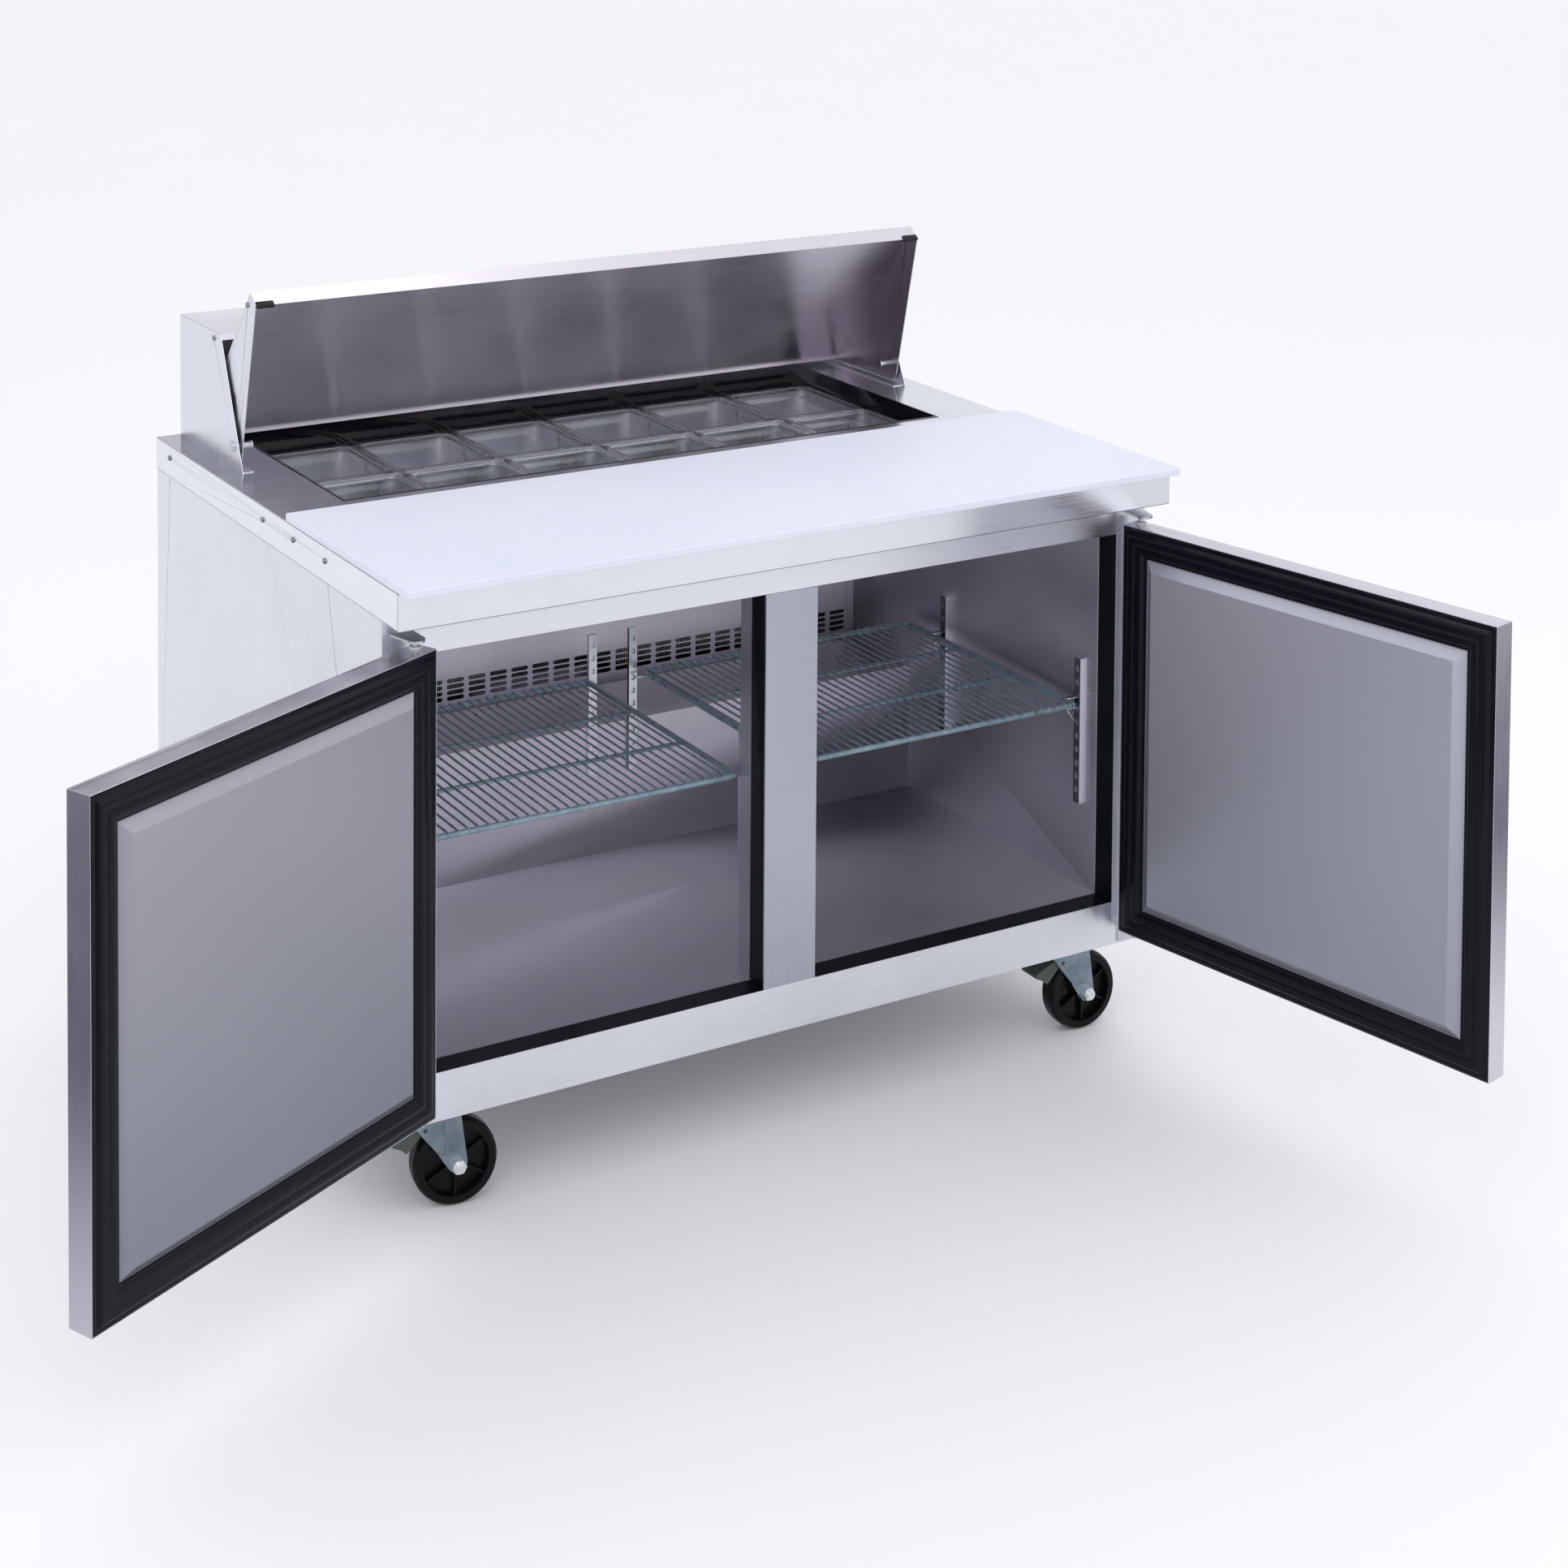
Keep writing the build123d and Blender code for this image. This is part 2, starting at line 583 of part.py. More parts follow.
def hinge_bushings():
    """Nylon sleeves between the pins and the doors, each with a collar that carries the door."""
    bushes = []
    for inner, outer, rest, face in (
        (PIN_TOP_END, DOOR_TOP + 2.6, DOOR_TOP + 0.1, DOOR_TOP + 2.5),
        (PIN_BOTTOM_END, BOTTOM_PLATE[1], DOOR_BOTTOM - 0.1, BOTTOM_PLATE[1] + 0.1),
    ):
        z0, z1 = sorted((inner, outer))
        bush = rod_z(BUSH_RADIUS, z0 + 0.1, z1 - 0.1, HINGE_X, HINGE_Y)
        bush += rod_z(BUSH_COLLAR, min(rest, face), max(rest, face), HINGE_X, HINGE_Y)
        bushes += both(bush - rod_z(HINGE_PIN + 0.02, -900, 0, HINGE_X, HINGE_Y))
    return group(bushes)


def hinge_holes():
    radius = BUSH_RADIUS + GAP
    top = rod_z(radius, PIN_TOP_END - 0.2, DOOR_TOP + 1, HINGE_X, HINGE_Y)
    return top + rod_z(radius, DOOR_BOTTOM - 1, PIN_BOTTOM_END + 0.2, HINGE_X, HINGE_Y)


def door_shell():
    """Outer pan of the door: one sheet folded back round all four edges."""
    t = DOOR_SHEET
    shell = block(DOOR_INNER_EDGE, DOOR_OUTER_EDGE, DOOR_FRONT, DOOR_BACK, DOOR_BOTTOM, DOOR_TOP)
    front_edges = [e for e in shell.edges() if e.center().Y < DOOR_FRONT + 0.01]
    shell = fillet(front_edges, 1.2)
    shell -= block(DOOR_INNER_EDGE + t, DOOR_OUTER_EDGE - t, DOOR_FRONT + t, DOOR_BACK + 1,
                   DOOR_BOTTOM + t, DOOR_TOP - t)
    return shell - hinge_holes()


PLATEAU_INSET = 43.0
PLATEAU_BEVEL = 14.0
PLATEAU_HEIGHT = 11.0
LINER_FACE = 44.2            # plane of the door's inner liner, under the gasket


def door_rectangle(inset):
    width = DOOR_OUTER_EDGE - DOOR_INNER_EDGE - 2 * inset
    height = DOOR_TOP - DOOR_BOTTOM - 2 * inset
    centre = Pos((DOOR_INNER_EDGE + DOOR_OUTER_EDGE) / 2, (DOOR_TOP + DOOR_BOTTOM) / 2)
    return centre * Rectangle(width, height)


def door_slab(inset, y0, y1):
    return Pos(0, y1, 0) * extrude(Plane.XZ * door_rectangle(inset), y1 - y0)


def door_core():
    """Foam core bonded to the raised inner liner."""
    core = door_slab(DOOR_SHEET + GAP, DOOR_FRONT + DOOR_SHEET, LINER_FACE)
    foot = Pos(0, LINER_FACE, 0) * (Plane.XZ * door_rectangle(PLATEAU_INSET))
    face = Pos(0, LINER_FACE + PLATEAU_HEIGHT, 0) * (Plane.XZ * door_rectangle(PLATEAU_INSET + PLATEAU_BEVEL))
    return core + loft([foot, face]) - hinge_holes()


def door_gasket():
    """Magnetic gasket: a flat base with a hollow bulb that meets the cabinet."""
    base = door_slab(2, LINER_FACE, 46.5) - door_slab(42, LINER_FACE - 1, 60)
    bulb = door_slab(9, 46.5, 51.6) - door_slab(37, 46, 60)
    return base + bulb


def left_door(shape):
    return swing(mirror(shape, about=Plane.YZ), -HINGE_X, HINGE_Y, -LEFT_DOOR_OPEN)


def right_door(shape):
    return swing(shape, HINGE_X, HINGE_Y, RIGHT_DOOR_OPEN)


# ---------------------------------------------------------------- shelves

def shelf():
    """Wire shelf: a frame, two cross wires and a deck of thin wires."""
    r = SHELF_RAIL
    z = SHELF_RAIL_Z
    x0, x1 = SHELF_INNER + r, SHELF_OUTER - r
    y0, y1 = SHELF_FRONT + r, SHELF_BACK - r
    deck = rod_x(r, x0, x1, y0, z) + rod_x(r, x0, x1, y1, z)
    for x in (x0, x1):
        deck += rod_y(r, y0, y1, x, z)
        for y in (y0, y1):
            deck += Pos(x, y, z) * Sphere(r)
    for y in (y0 + (y1 - y0) / 3, y0 + (y1 - y0) * 2 / 3):
        deck += rod_x(r - 1, x0, x1, y, z)
    count = int((x1 - x0 - 2 * r) / SHELF_PITCH)
    start = (x0 + x1 - count * SHELF_PITCH) / 2
    wire_z = z + r + SHELF_WIRE - 1.4
    wires = [rod_y(SHELF_WIRE, y0 - 2.5, y1 + 2.5, start + i * SHELF_PITCH, wire_z) for i in range(count + 1)]
    return deck + wires


PILASTER_TOP = -298.0
PILASTER_FOOT = -514.0
PILASTER_Y = {"front": 112.0, "back": 440.0}
POST_Y = {"front": 114.0, "back": 538.9}
CLIP_TOP = SHELF_RAIL_Z - SHELF_RAIL - GAP


def pilaster(x0, x1, y0, y1, foot, slot):
    """Channel for the shelf clips; slot gives the X and Y span of the holes up its face."""
    strip = block(x0, x1, y0, y1, foot, PILASTER_TOP)
    for z in range(int(PILASTER_TOP) - 20, int(foot) + 6, -20):
        strip -= block(*slot, z, z + 8)
    return strip


def shelf_pilasters():
    strips = []
    for y in PILASTER_Y.values():
        strips += both(pilaster(545, LINER_X, y, y + 14, PILASTER_FOOT, (544, 548, y + 4, y + 10)))
    front, back = POST_Y["front"], POST_Y["back"]
    strips += both(pilaster(28, 42, front, front + 6, PILASTER_FOOT, (32, 38, front + 3, front + 7)))
    strips += both(pilaster(28, 42, back, back + 6, PILASTER_FOOT, (32, 38, back - 1, back + 3)))
    return group(strips)


def shelf_clips():
    clips = []
    low = CLIP_TOP - 4
    for y in PILASTER_Y.values():
        clips += both(block(526, 544.9, y + 3, y + 11, low, CLIP_TOP))
    front, back = POST_Y["front"] + 6.1, POST_Y["back"] - 0.1
    clips += both(block(31, 39, front, 130, low, CLIP_TOP) + block(39, 60, 122, 130, low, CLIP_TOP))
    clips += both(block(31, 39, 523, back, low, CLIP_TOP) + block(39, 60, 523, 531, low, CLIP_TOP))
    return group(clips)


# ---------------------------------------------------------------- cooling

COVER_Y = 701.0
SLOT_PITCH = 37.0
FAN_Z = -320.0
FAN_RADIUS = 92.0
SHAFT = 4.0


def evaporator_cover():
    """Folded cover in front of the coil, with the return air slots along its foot."""
    path = [(COVER_Y, STEP_Z + 0.1), (COVER_Y, -140), (775, -136), (775, REST_Z - BAR_THICK - 3)]
    cover = prism_x(ribbon(path, 1), -LINER_X + 0.1, LINER_X - 0.1)
    slots = [
        Pos(i * SLOT_PITCH, z) * SlotOverall(29, 6.5)
        for i in range(-14, 15)
        for z in (-420, -411, -402, -393)
    ]
    for corner in both(block(510.9, LINER_X, COVER_Y + 50, LINER_BACK, LINER_CEILING - 0.1, 0)):
        cover -= corner
    return cover - Pos(0, COVER_Y, 0) * extrude(Plane.XZ * Compound(children=slots), 5, both=True)


def evaporator_coil():
    """Two finned blocks with their return bends, one on each side of the fan."""
    coils = []
    for x0, x1 in ((-430, -110), (110, 430)):
        coil = block(x0, x1, 735, 790, -430, -200)
        for z in range(-410, -210, 40):
            for x in (x0, x1):
                bend = Pos(x, 762, z) * Rot(90, 0, 0) * Torus(12, 4)
                coil += bend
        coils.append(coil)
    return group(coils)


def fan(x, y, z, radius, count):
    """Axial fan with its hub on the motor's shaft, blowing along Y."""
    rotor = rod_y(22, y, y + 18, x, z)
    for i in range(count):
        blade = Pos(0, 0, (radius + 18) / 2) * Rot(0, 0, 32) * Box(radius * 0.62, 1.6, radius - 18)
        rotor += Pos(x, y + 9, z) * Rot(0, i * 360 / count, 0) * blade
    rotor &= rod_y(radius, y - 30, y + 50, x, z)
    return rotor - rod_y(SHAFT + GAP, y - 1, y + 19, x, z)


CONDENSER_FAN = (150.0, 690.0, -595.0)


def fan_motors():
    """Motor of each fan, with its shaft and the bracket that holds it."""
    evaporator = rod_y(34, 745, 782, 0, FAN_Z) + rod_y(SHAFT, 722, 746, 0, FAN_Z)
    evaporator += block(-9, 9, 775, 782, FAN_Z - 100, FAN_Z + 100)
    evaporator += block(-9, 9, 775, LINER_BACK, FAN_Z - 100, FAN_Z - 92)
    evaporator += block(-9, 9, 775, LINER_BACK, FAN_Z + 92, FAN_Z + 100)
    x, y, z = CONDENSER_FAN
    condenser = rod_y(36, y - 60, y - 22, x, z) + rod_y(SHAFT, y - 23, y + 18, x, z)
    condenser += block(x - 12, x + 12, y - 50, y - 32, PLATE_TOP + 2, z)
    return group([evaporator, condenser])


def evaporator_fan():
    return fan(0, 722, FAN_Z, 84, 5) & block(-100, 100, 703, 744, FAN_Z - 100, FAN_Z + 100)


def condenser_fan():
    x, y, z = CONDENSER_FAN
    return fan(x, y, z, FAN_RADIUS, 5)


def compressor():
    """Hermetic compressor: a domed can on a foot plate, with its terminal box."""
    can = Pos(-300, 715, PLATE_TOP + 2 + 90) * Cylinder(72, 150)
    can = fillet(can.edges().filter_by(GeomType.CIRCLE), 34)
    foot = block(-385, -215, 650, 780, PLATE_TOP + 2, PLATE_TOP + 6)
    stand = rod_z(30, PLATE_TOP + 6, PLATE_TOP + 30, -300, 715)
    terminal = block(-240, -212, 690, 740, PLATE_TOP + 60, PLATE_TOP + 120)
    return can + foot + stand + terminal


def condenser_coil():
    """Finned block with its return bends, and the pipe from the compressor."""
    coil = block(0, 300, 760, 815, -690, -500)
    for z in range(-670, -510, 40):
        for x in (0, 300):
            coil += Pos(x, 788, z) * Rot(90, 0, 0) * Torus(12, 4)
    pipe = rod_x(4, -226, 1, 765, -640)
    return coil + pipe


def controller():
    """Thermostat with a plain dark window, set in the grille."""
    x0, x1 = CONTROLLER_X
    z0, z1 = CONTROLLER_Z
    body = block(x0 + 0.5, x1 - 0.5, 795, BACK_Y + 1, z0 + 0.5, z1 - 0.5)
    bezel = block(x0 - 4, x1 + 4, BACK_Y + GAP, BACK_Y + 4, z0 - 4, z1 + 4)
    window = block(x0 + 8, x1 - 8, BACK_Y + 3, BACK_Y + 5, z0 + 8, z1 - 8)
    return body + bezel - window


PLUG_RADIUS = 11.0
PLUG_LENGTH = 34.0
PLUG_PIN = 2.0
PIN_SPREAD = 5.0
PIN_REACH = 16.0


def power_cord():
    """Cord through a gland in the grille, coiled for transport, with its two-pin plug."""
    gland = rod_y(CORD_RADIUS + 3, BACK_Y - 8, BACK_Y + 8, CORD_X, CORD_Z)
    gland += rod_y(CORD_RADIUS + 6, BACK_Y + GAP, BACK_Y + 5, CORD_X, CORD_Z)
    coil_radius = 62
    coil_pitch = 9
    turns = 3
    start_y = BACK_Y + 10
    coil_z = CORD_Z + coil_radius
    coil = Helix(coil_pitch, coil_pitch * turns, coil_radius)
    section = Plane(origin=coil @ 0, z_dir=coil % 0) * Circle(CORD_RADIUS)
    rope = sweep(section, path=coil)
    rope = Pos(CORD_X, start_y, coil_z) * Rot(-90, 0, 0) * Rot(0, 0, 90) * rope
    lead = rod_y(CORD_RADIUS, BACK_Y + 7, start_y + CORD_RADIUS, CORD_X, CORD_Z)
    end_y = start_y + coil_pitch * turns
    plug = fillet(rod_x(PLUG_RADIUS, CORD_X - PLUG_LENGTH, CORD_X, end_y, CORD_Z).edges(), 3)
    for dz in (-PIN_SPREAD, PIN_SPREAD):
        plug += rod_x(PLUG_PIN, CORD_X - PLUG_LENGTH - PIN_REACH, CORD_X - PLUG_LENGTH + 1, end_y, CORD_Z + dz)
    return group([gland + lead + rope + plug])


# ---------------------------------------------------------------- casters

def caster_plates():
    """Top plate, ball race and king pin of each caster."""
    plates = []
    for x, y, _ in CASTERS.values():
        plate = block(x - 47, x + 47, y - 36, y + 36, PLATE_BOTTOM, PLATE_TOP)
        plate = fillet(plate.edges().filter_by(Axis.Z), 6)
        plate += rod_z(27, RACE_BOTTOM, PLATE_BOTTOM, x, y)
        plate += rod_z(6, FORK_TOP - FORK_CROWN - 4.5, RACE_BOTTOM, x, y)
        plate += rod_z(10, FORK_TOP - FORK_CROWN - 4.5, FORK_TOP - FORK_CROWN - 0.15, x, y)
        for dx in (-PLATE_BOLT_X, PLATE_BOLT_X):
            for dy in (-PLATE_BOLT_Y, PLATE_BOLT_Y):
                plate -= rod_z(PLATE_BOLT + GAP, PLATE_BOTTOM - 1, PLATE_TOP + 1, x + dx, y + dy)
        plates.append(plate)
    return group(plates)


def caster_fork(braked):
    """Pressed fork, its legs narrowing from the crown to the axle; drawn with its stem at the origin."""
    crown_low = FORK_TOP - FORK_CROWN
    crown = block(-31, 34, -LEG_INNER - LEG_THICK, LEG_INNER + LEG_THICK, crown_low, FORK_TOP)
    crown = fillet(crown.edges().filter_by(Axis.Z), 8)
    top = FORK_TOP - 1
    back_edge = [(4, AXLE_Z + 18), (-14, AXLE_Z + 40), (-31, AXLE_Z + 62), (-31, top)]
    leg_points = back_edge + [
        (34, top), (TRAIL + 13, AXLE_Z + 3), (TRAIL + 11, AXLE_Z - 7), (TRAIL + 5, AXLE_Z - 12),
        (TRAIL - 4, AXLE_Z - 12), (TRAIL - 14, AXLE_Z - 2),
    ]
    leg = prism_y(leg_points, LEG_INNER, LEG_INNER + LEG_THICK)
    rib = prism_y(back_edge + [(11, top), (14, AXLE_Z + 15)], LEG_INNER + 1, LEG_INNER + LEG_THICK + 2)
    leg += fillet(rib.edges().filter_by(Axis.Y, reverse=True).group_by(Axis.Y)[-1], 1.6)
    fork = crown + leg + mirror(leg, about=Plane.XZ)
    fork -= rod_z(6 + GAP, crown_low - 5, FORK_TOP + 5, 0, 0)
    fork -= rod_y(AXLE_RADIUS + GAP, -40, 40, TRAIL, AXLE_Z)
    if braked:
        fork -= rod_y(3 + GAP, -40, 40, *PEDAL_PIVOT)
    return fork


def caster_axle():
    """Axle bolt with its head at the back, and the locking nut at the front."""
    outer = LEG_INNER + LEG_THICK + 0.1
    bolt = rod_y(AXLE_RADIUS, -outer - 12, outer, TRAIL, AXLE_Z) + hex_y(17, outer, outer + 7.5, TRAIL, AXLE_Z)
    nut = hex_y(17, -outer - 8, -outer, TRAIL, AXLE_Z) + rod_y(7.4, -outer - 10.5, -outer - 8, TRAIL, AXLE_Z)
    return group([bolt, nut - rod_y(AXLE_RADIUS + 0.02, -60, 0, TRAIL, AXLE_Z)])


def caster_wheel():
    """Moulded wheel: a grooved tread, a thin web with ribs on both sides, and the hub."""
    profile = [
        (45, -WHEEL_HALF), (54, -WHEEL_HALF), (56.8, -10), (WHEEL_RADIUS, -5), (WHEEL_RADIUS, 5),
        (56.8, 10), (54, WHEEL_HALF), (45, WHEEL_HALF), (43, 3), (43, -3),
    ]
    tread = revolve(outline(profile), Axis.Y)
    wheel = tread + rod_y(44, -3, 3, 0, 0) + rod_y(14, -HUB_HALF, HUB_HALF, 0, 0)
    for i in range(6):
        rib = Pos(29, 0, 0) * Box(32, 20, 3.6)
        wheel += Rot(0, 30 + i * 60, 0) * rib
    for y in (-9, 9):
        wheel -= rod_y(60, y - 0.6, y + 0.6, 0, 0) - rod_y(55.6, y - 1, y + 1, 0, 0)
    wheel -= rod_y(AXLE_RADIUS + GAP, -30, 30, 0, 0)
    return Pos(TRAIL, 0, AXLE_Z) * wheel


def brake_pedal():
    """Foot lever on a pin through the fork's legs; its nose faces the tread."""
    x, z = PEDAL_PIVOT
    half = LEG_INNER - 0.5
    lever = prism_y([(x + 7, z - 4), (x + 7, z + 5), (x - 5, z + 6), (x - 34, z - 7), (x - 45, z - 13),
                     (x - 44, z - 17), (x - 30, z - 23), (x - 24, z - 29), (x - 19, z - 25), (x - 5, z - 10)],
                    -half, half)
    return lever + rod_y(3, -LEG_INNER - LEG_THICK - 1, LEG_INNER + LEG_THICK + 1, x, z)


# ---------------------------------------------------------------- export

ORIGIN = Pos(0, -(BOARD_FRONT + BOARD_BACK) / 2, -BOARD_THICK)


def nodes():
    parts = {
        "side_panels": side_panels(),
        "back_panel": back_panel(),
        "machine_grille": machine_grille(),
        "base_pan": base_pan(),
        "front_rails": front_rails(),
        "centre_mullion": centre_mullion(),
        "breaker_strips": breaker_strips(),
        "cabinet_liner": cabinet_liner(),
        "cabinet_foam": cabinet_foam(),
        "worktop": worktop(),
        "sheet_screws": sheet_screws(),
        "well_collar": well_collar(),
        "air_duct_strip": air_duct_strip(),
        "pan_bars": pan_bars(),
        "hood_housing": hood_housing(),
        "hood_sides": hood_sides(),
        "lid_pivot_pins": lid_pivot_pins(),
        "lid_panel": lid_panel(),
        "lid_cheeks": lid_cheeks(),
        "lid_bumpers": lid_bumpers(),
        "lid_screws": lid_screws(),
        "hinge_brackets": hinge_brackets(),
        "hinge_bushings": hinge_bushings(),
        "shelf_pilasters": shelf_pilasters(),
        "shelf_clips": shelf_clips(),
        "evaporator_cover": evaporator_cover(),
        "evaporator_coil": evaporator_coil(),
        "evaporator_fan": evaporator_fan(),
        "fan_motors": fan_motors(),
        "compressor": compressor(),
        "condenser_coil": condenser_coil(),
        "condenser_fan": condenser_fan(),
        "controller": controller(),
        "power_cord": power_cord(),
        "cutting_board": cutting_board(),
        "pans_front_row": pans(ROW_Y[0]),
        "pans_rear_row": pans(ROW_Y[1]),
        "caster_plates": caster_plates(),
    }
    for name, piece in (("shell", door_shell()), ("core", door_core()), ("gasket", door_gasket())):
        parts[f"door_{name}_left"] = left_door(piece)
        parts[f"door_{name}_right"] = right_door(piece)
    wire_shelf = shelf()
    parts["shelf_right"] = wire_shelf
    parts["shelf_left"] = mirror(wire_shelf, about=Plane.YZ)
    axle = caster_axle()
    wheel = caster_wheel()
    pedal = brake_pedal()
    for place, (x, y, yaw) in CASTERS.items():
        braked = place.startswith("front")
        seat = Pos(x, y, 0) * Rot(0, 0, yaw)
        parts[f"caster_fork_{place}"] = seat * caster_fork(braked)
        parts[f"caster_axle_{place}"] = seat * axle
        parts[f"caster_wheel_{place}"] = seat * wheel
        if braked:
            parts[f"brake_pedal_{place}"] = seat * pedal
    return parts


os.makedirs("parts", exist_ok=True)
for node, shape in nodes().items():
    export_step(group([ORIGIN * shape]), f"parts/{node}.step")
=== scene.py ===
import json
import math

import bmesh
import bpy
from mathutils import Matrix, Vector


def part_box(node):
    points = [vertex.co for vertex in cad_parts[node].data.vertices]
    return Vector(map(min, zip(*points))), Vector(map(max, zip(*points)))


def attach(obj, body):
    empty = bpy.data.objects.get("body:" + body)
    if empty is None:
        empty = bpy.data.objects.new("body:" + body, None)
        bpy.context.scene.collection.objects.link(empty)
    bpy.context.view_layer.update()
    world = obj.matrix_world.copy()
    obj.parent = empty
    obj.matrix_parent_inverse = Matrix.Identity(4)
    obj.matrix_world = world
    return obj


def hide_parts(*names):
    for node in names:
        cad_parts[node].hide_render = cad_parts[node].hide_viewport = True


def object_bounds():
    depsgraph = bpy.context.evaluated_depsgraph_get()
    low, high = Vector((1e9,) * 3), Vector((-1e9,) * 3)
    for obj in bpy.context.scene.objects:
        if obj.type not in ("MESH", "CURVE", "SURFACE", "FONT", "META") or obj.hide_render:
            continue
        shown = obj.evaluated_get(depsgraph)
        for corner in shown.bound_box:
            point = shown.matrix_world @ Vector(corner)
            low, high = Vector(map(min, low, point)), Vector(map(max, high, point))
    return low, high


# Looks of the sandwich prep table. Every length is in metres, in the frame of the CAD model: the origin
# is the centre of the cutting board's top, +X to the right, +Y towards the hood, +Z up.

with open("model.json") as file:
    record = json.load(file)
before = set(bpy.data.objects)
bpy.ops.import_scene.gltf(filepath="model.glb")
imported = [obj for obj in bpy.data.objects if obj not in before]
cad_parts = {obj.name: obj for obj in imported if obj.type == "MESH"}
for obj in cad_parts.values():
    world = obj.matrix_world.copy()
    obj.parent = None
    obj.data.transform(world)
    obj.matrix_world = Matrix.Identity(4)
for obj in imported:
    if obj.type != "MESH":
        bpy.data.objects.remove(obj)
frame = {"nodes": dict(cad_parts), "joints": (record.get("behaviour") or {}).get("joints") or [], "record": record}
cad_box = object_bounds()
nodes = frame["nodes"]
joints = {joint["name"]: joint for joint in frame["joints"]}
MM = 0.001


# ---------------------------------------------------------------- shader helpers

def shader(name, color, metallic=0.0, roughness=0.5):
    """A new node material with its tree and its Principled node."""
    mat = bpy.data.materials.new(name)
    mat.use_nodes = True
    tree = mat.node_tree
    bsdf = tree.nodes["Principled BSDF"]
    bsdf.inputs["Base Color"].default_value = (*color, 1)
    bsdf.inputs["Metallic"].default_value = metallic
    bsdf.inputs["Roughness"].default_value = roughness
    return mat, tree, bsdf


def noise(tree, scale, detail=4.0, roughness=0.55):
    """Noise over the object's own metres; scale is per axis, so a grain can be stretched."""
    coordinates = tree.nodes.new("ShaderNodeTexCoord")
    mapping = tree.nodes.new("ShaderNodeMapping")
    mapping.inputs["Scale"].default_value = scale
    texture = tree.nodes.new("ShaderNodeTexNoise")
    texture.inputs["Scale"].default_value = 1.0
    texture.inputs["Detail"].default_value = detail
    texture.inputs["Roughness"].default_value = roughness
    tree.links.new(coordinates.outputs["Object"], mapping.inputs["Vector"])
    tree.links.new(mapping.outputs["Vector"], texture.inputs["Vector"])
    return texture.outputs["Fac"]


def remap(tree, value, low, high, span=(0.3, 0.7)):
    """Carry a value from its span over to the range from low to high."""
    node = tree.nodes.new("ShaderNodeMapRange")
    node.inputs["From Min"].default_value = span[0]
    node.inputs["From Max"].default_value = span[1]
    node.inputs["To Min"].default_value = low
    node.inputs["To Max"].default_value = high
    tree.links.new(value, node.inputs["Value"])
    return node.outputs["Result"]


def position(tree, kind="Object"):
    """The X, Y and Z of a point on the object, or of a direction in the world when kind is Generated."""
    coordinates = tree.nodes.new("ShaderNodeTexCoord")
    split = tree.nodes.new("ShaderNodeSeparateXYZ")
    tree.links.new(coordinates.outputs[kind], split.inputs["Vector"])
    return split.outputs


def math_node(tree, operation, a, b=0):
    """One step of arithmetic on one or two values, each a number or another node's output."""
    node = tree.nodes.new("ShaderNodeMath")
    node.operation = operation
    for socket, value in zip(node.inputs, (a, b)):
        if isinstance(value, (int, float)):
            socket.default_value = value
        else:
            tree.links.new(value, socket)
    return node.outputs["Value"]


def blend_colors(tree, factor, a, b):
    """The first colour where the factor is zero, the second where it is one."""
    node = tree.nodes.new("ShaderNodeMix")
    node.data_type = "RGBA"
    tree.links.new(factor, node.inputs["Factor"])
    node.inputs["A"].default_value = (*a, 1)
    node.inputs["B"].default_value = (*b, 1)
    return node.outputs["Result"]


def near(tree, value, middle, reach):
    """One where a value lies within reach of its middle, otherwise zero."""
    away = math_node(tree, "ABSOLUTE", math_node(tree, "SUBTRACT", value, middle))
    return math_node(tree, "LESS_THAN", away, reach)


def tint(mat, where, amount, color):
    """Pull a material's colour towards another one wherever a mask is one."""
    tree = mat.node_tree
    socket = tree.nodes["Principled BSDF"].inputs["Base Color"]
    plain = socket.links[0].from_socket
    mix = tree.nodes.new("ShaderNodeMix")
    mix.data_type = "RGBA"
    tree.links.new(math_node(tree, "MULTIPLY", where, amount), mix.inputs["Factor"])
    tree.links.new(plain, mix.inputs["A"])
    mix.inputs["B"].default_value = (*color, 1)
    tree.links.new(mix.outputs["Result"], socket)


def bump(tree, bsdf, height, distance, strength):
    """Raise the surface in the shading by a height that runs from zero to one."""
    node = tree.nodes.new("ShaderNodeBump")
    node.inputs["Distance"].default_value = distance
    node.inputs["Strength"].default_value = strength
    tree.links.new(height, node.inputs["Height"])
    tree.links.new(node.outputs["Normal"], bsdf.inputs["Normal"])


# ---------------------------------------------------------------- materials

GRAIN_FINE = 1400.0
GRAIN_LONG = 9.0


def spread_across_grain(tree, bsdf, grain):
    """Stretch the highlights at right angles to the brush marks."""
    geometry = tree.nodes.new("ShaderNodeNewGeometry")
    cross = tree.nodes.new("ShaderNodeVectorMath")
    cross.operation = "CROSS_PRODUCT"
    cross.inputs[1].default_value = [float(axis == grain) for axis in range(3)]
    tree.links.new(geometry.outputs["Normal"], cross.inputs[0])
    tree.links.new(cross.outputs["Vector"], bsdf.inputs["Tangent"])
    bsdf.inputs["Anisotropic"].default_value = 0.7


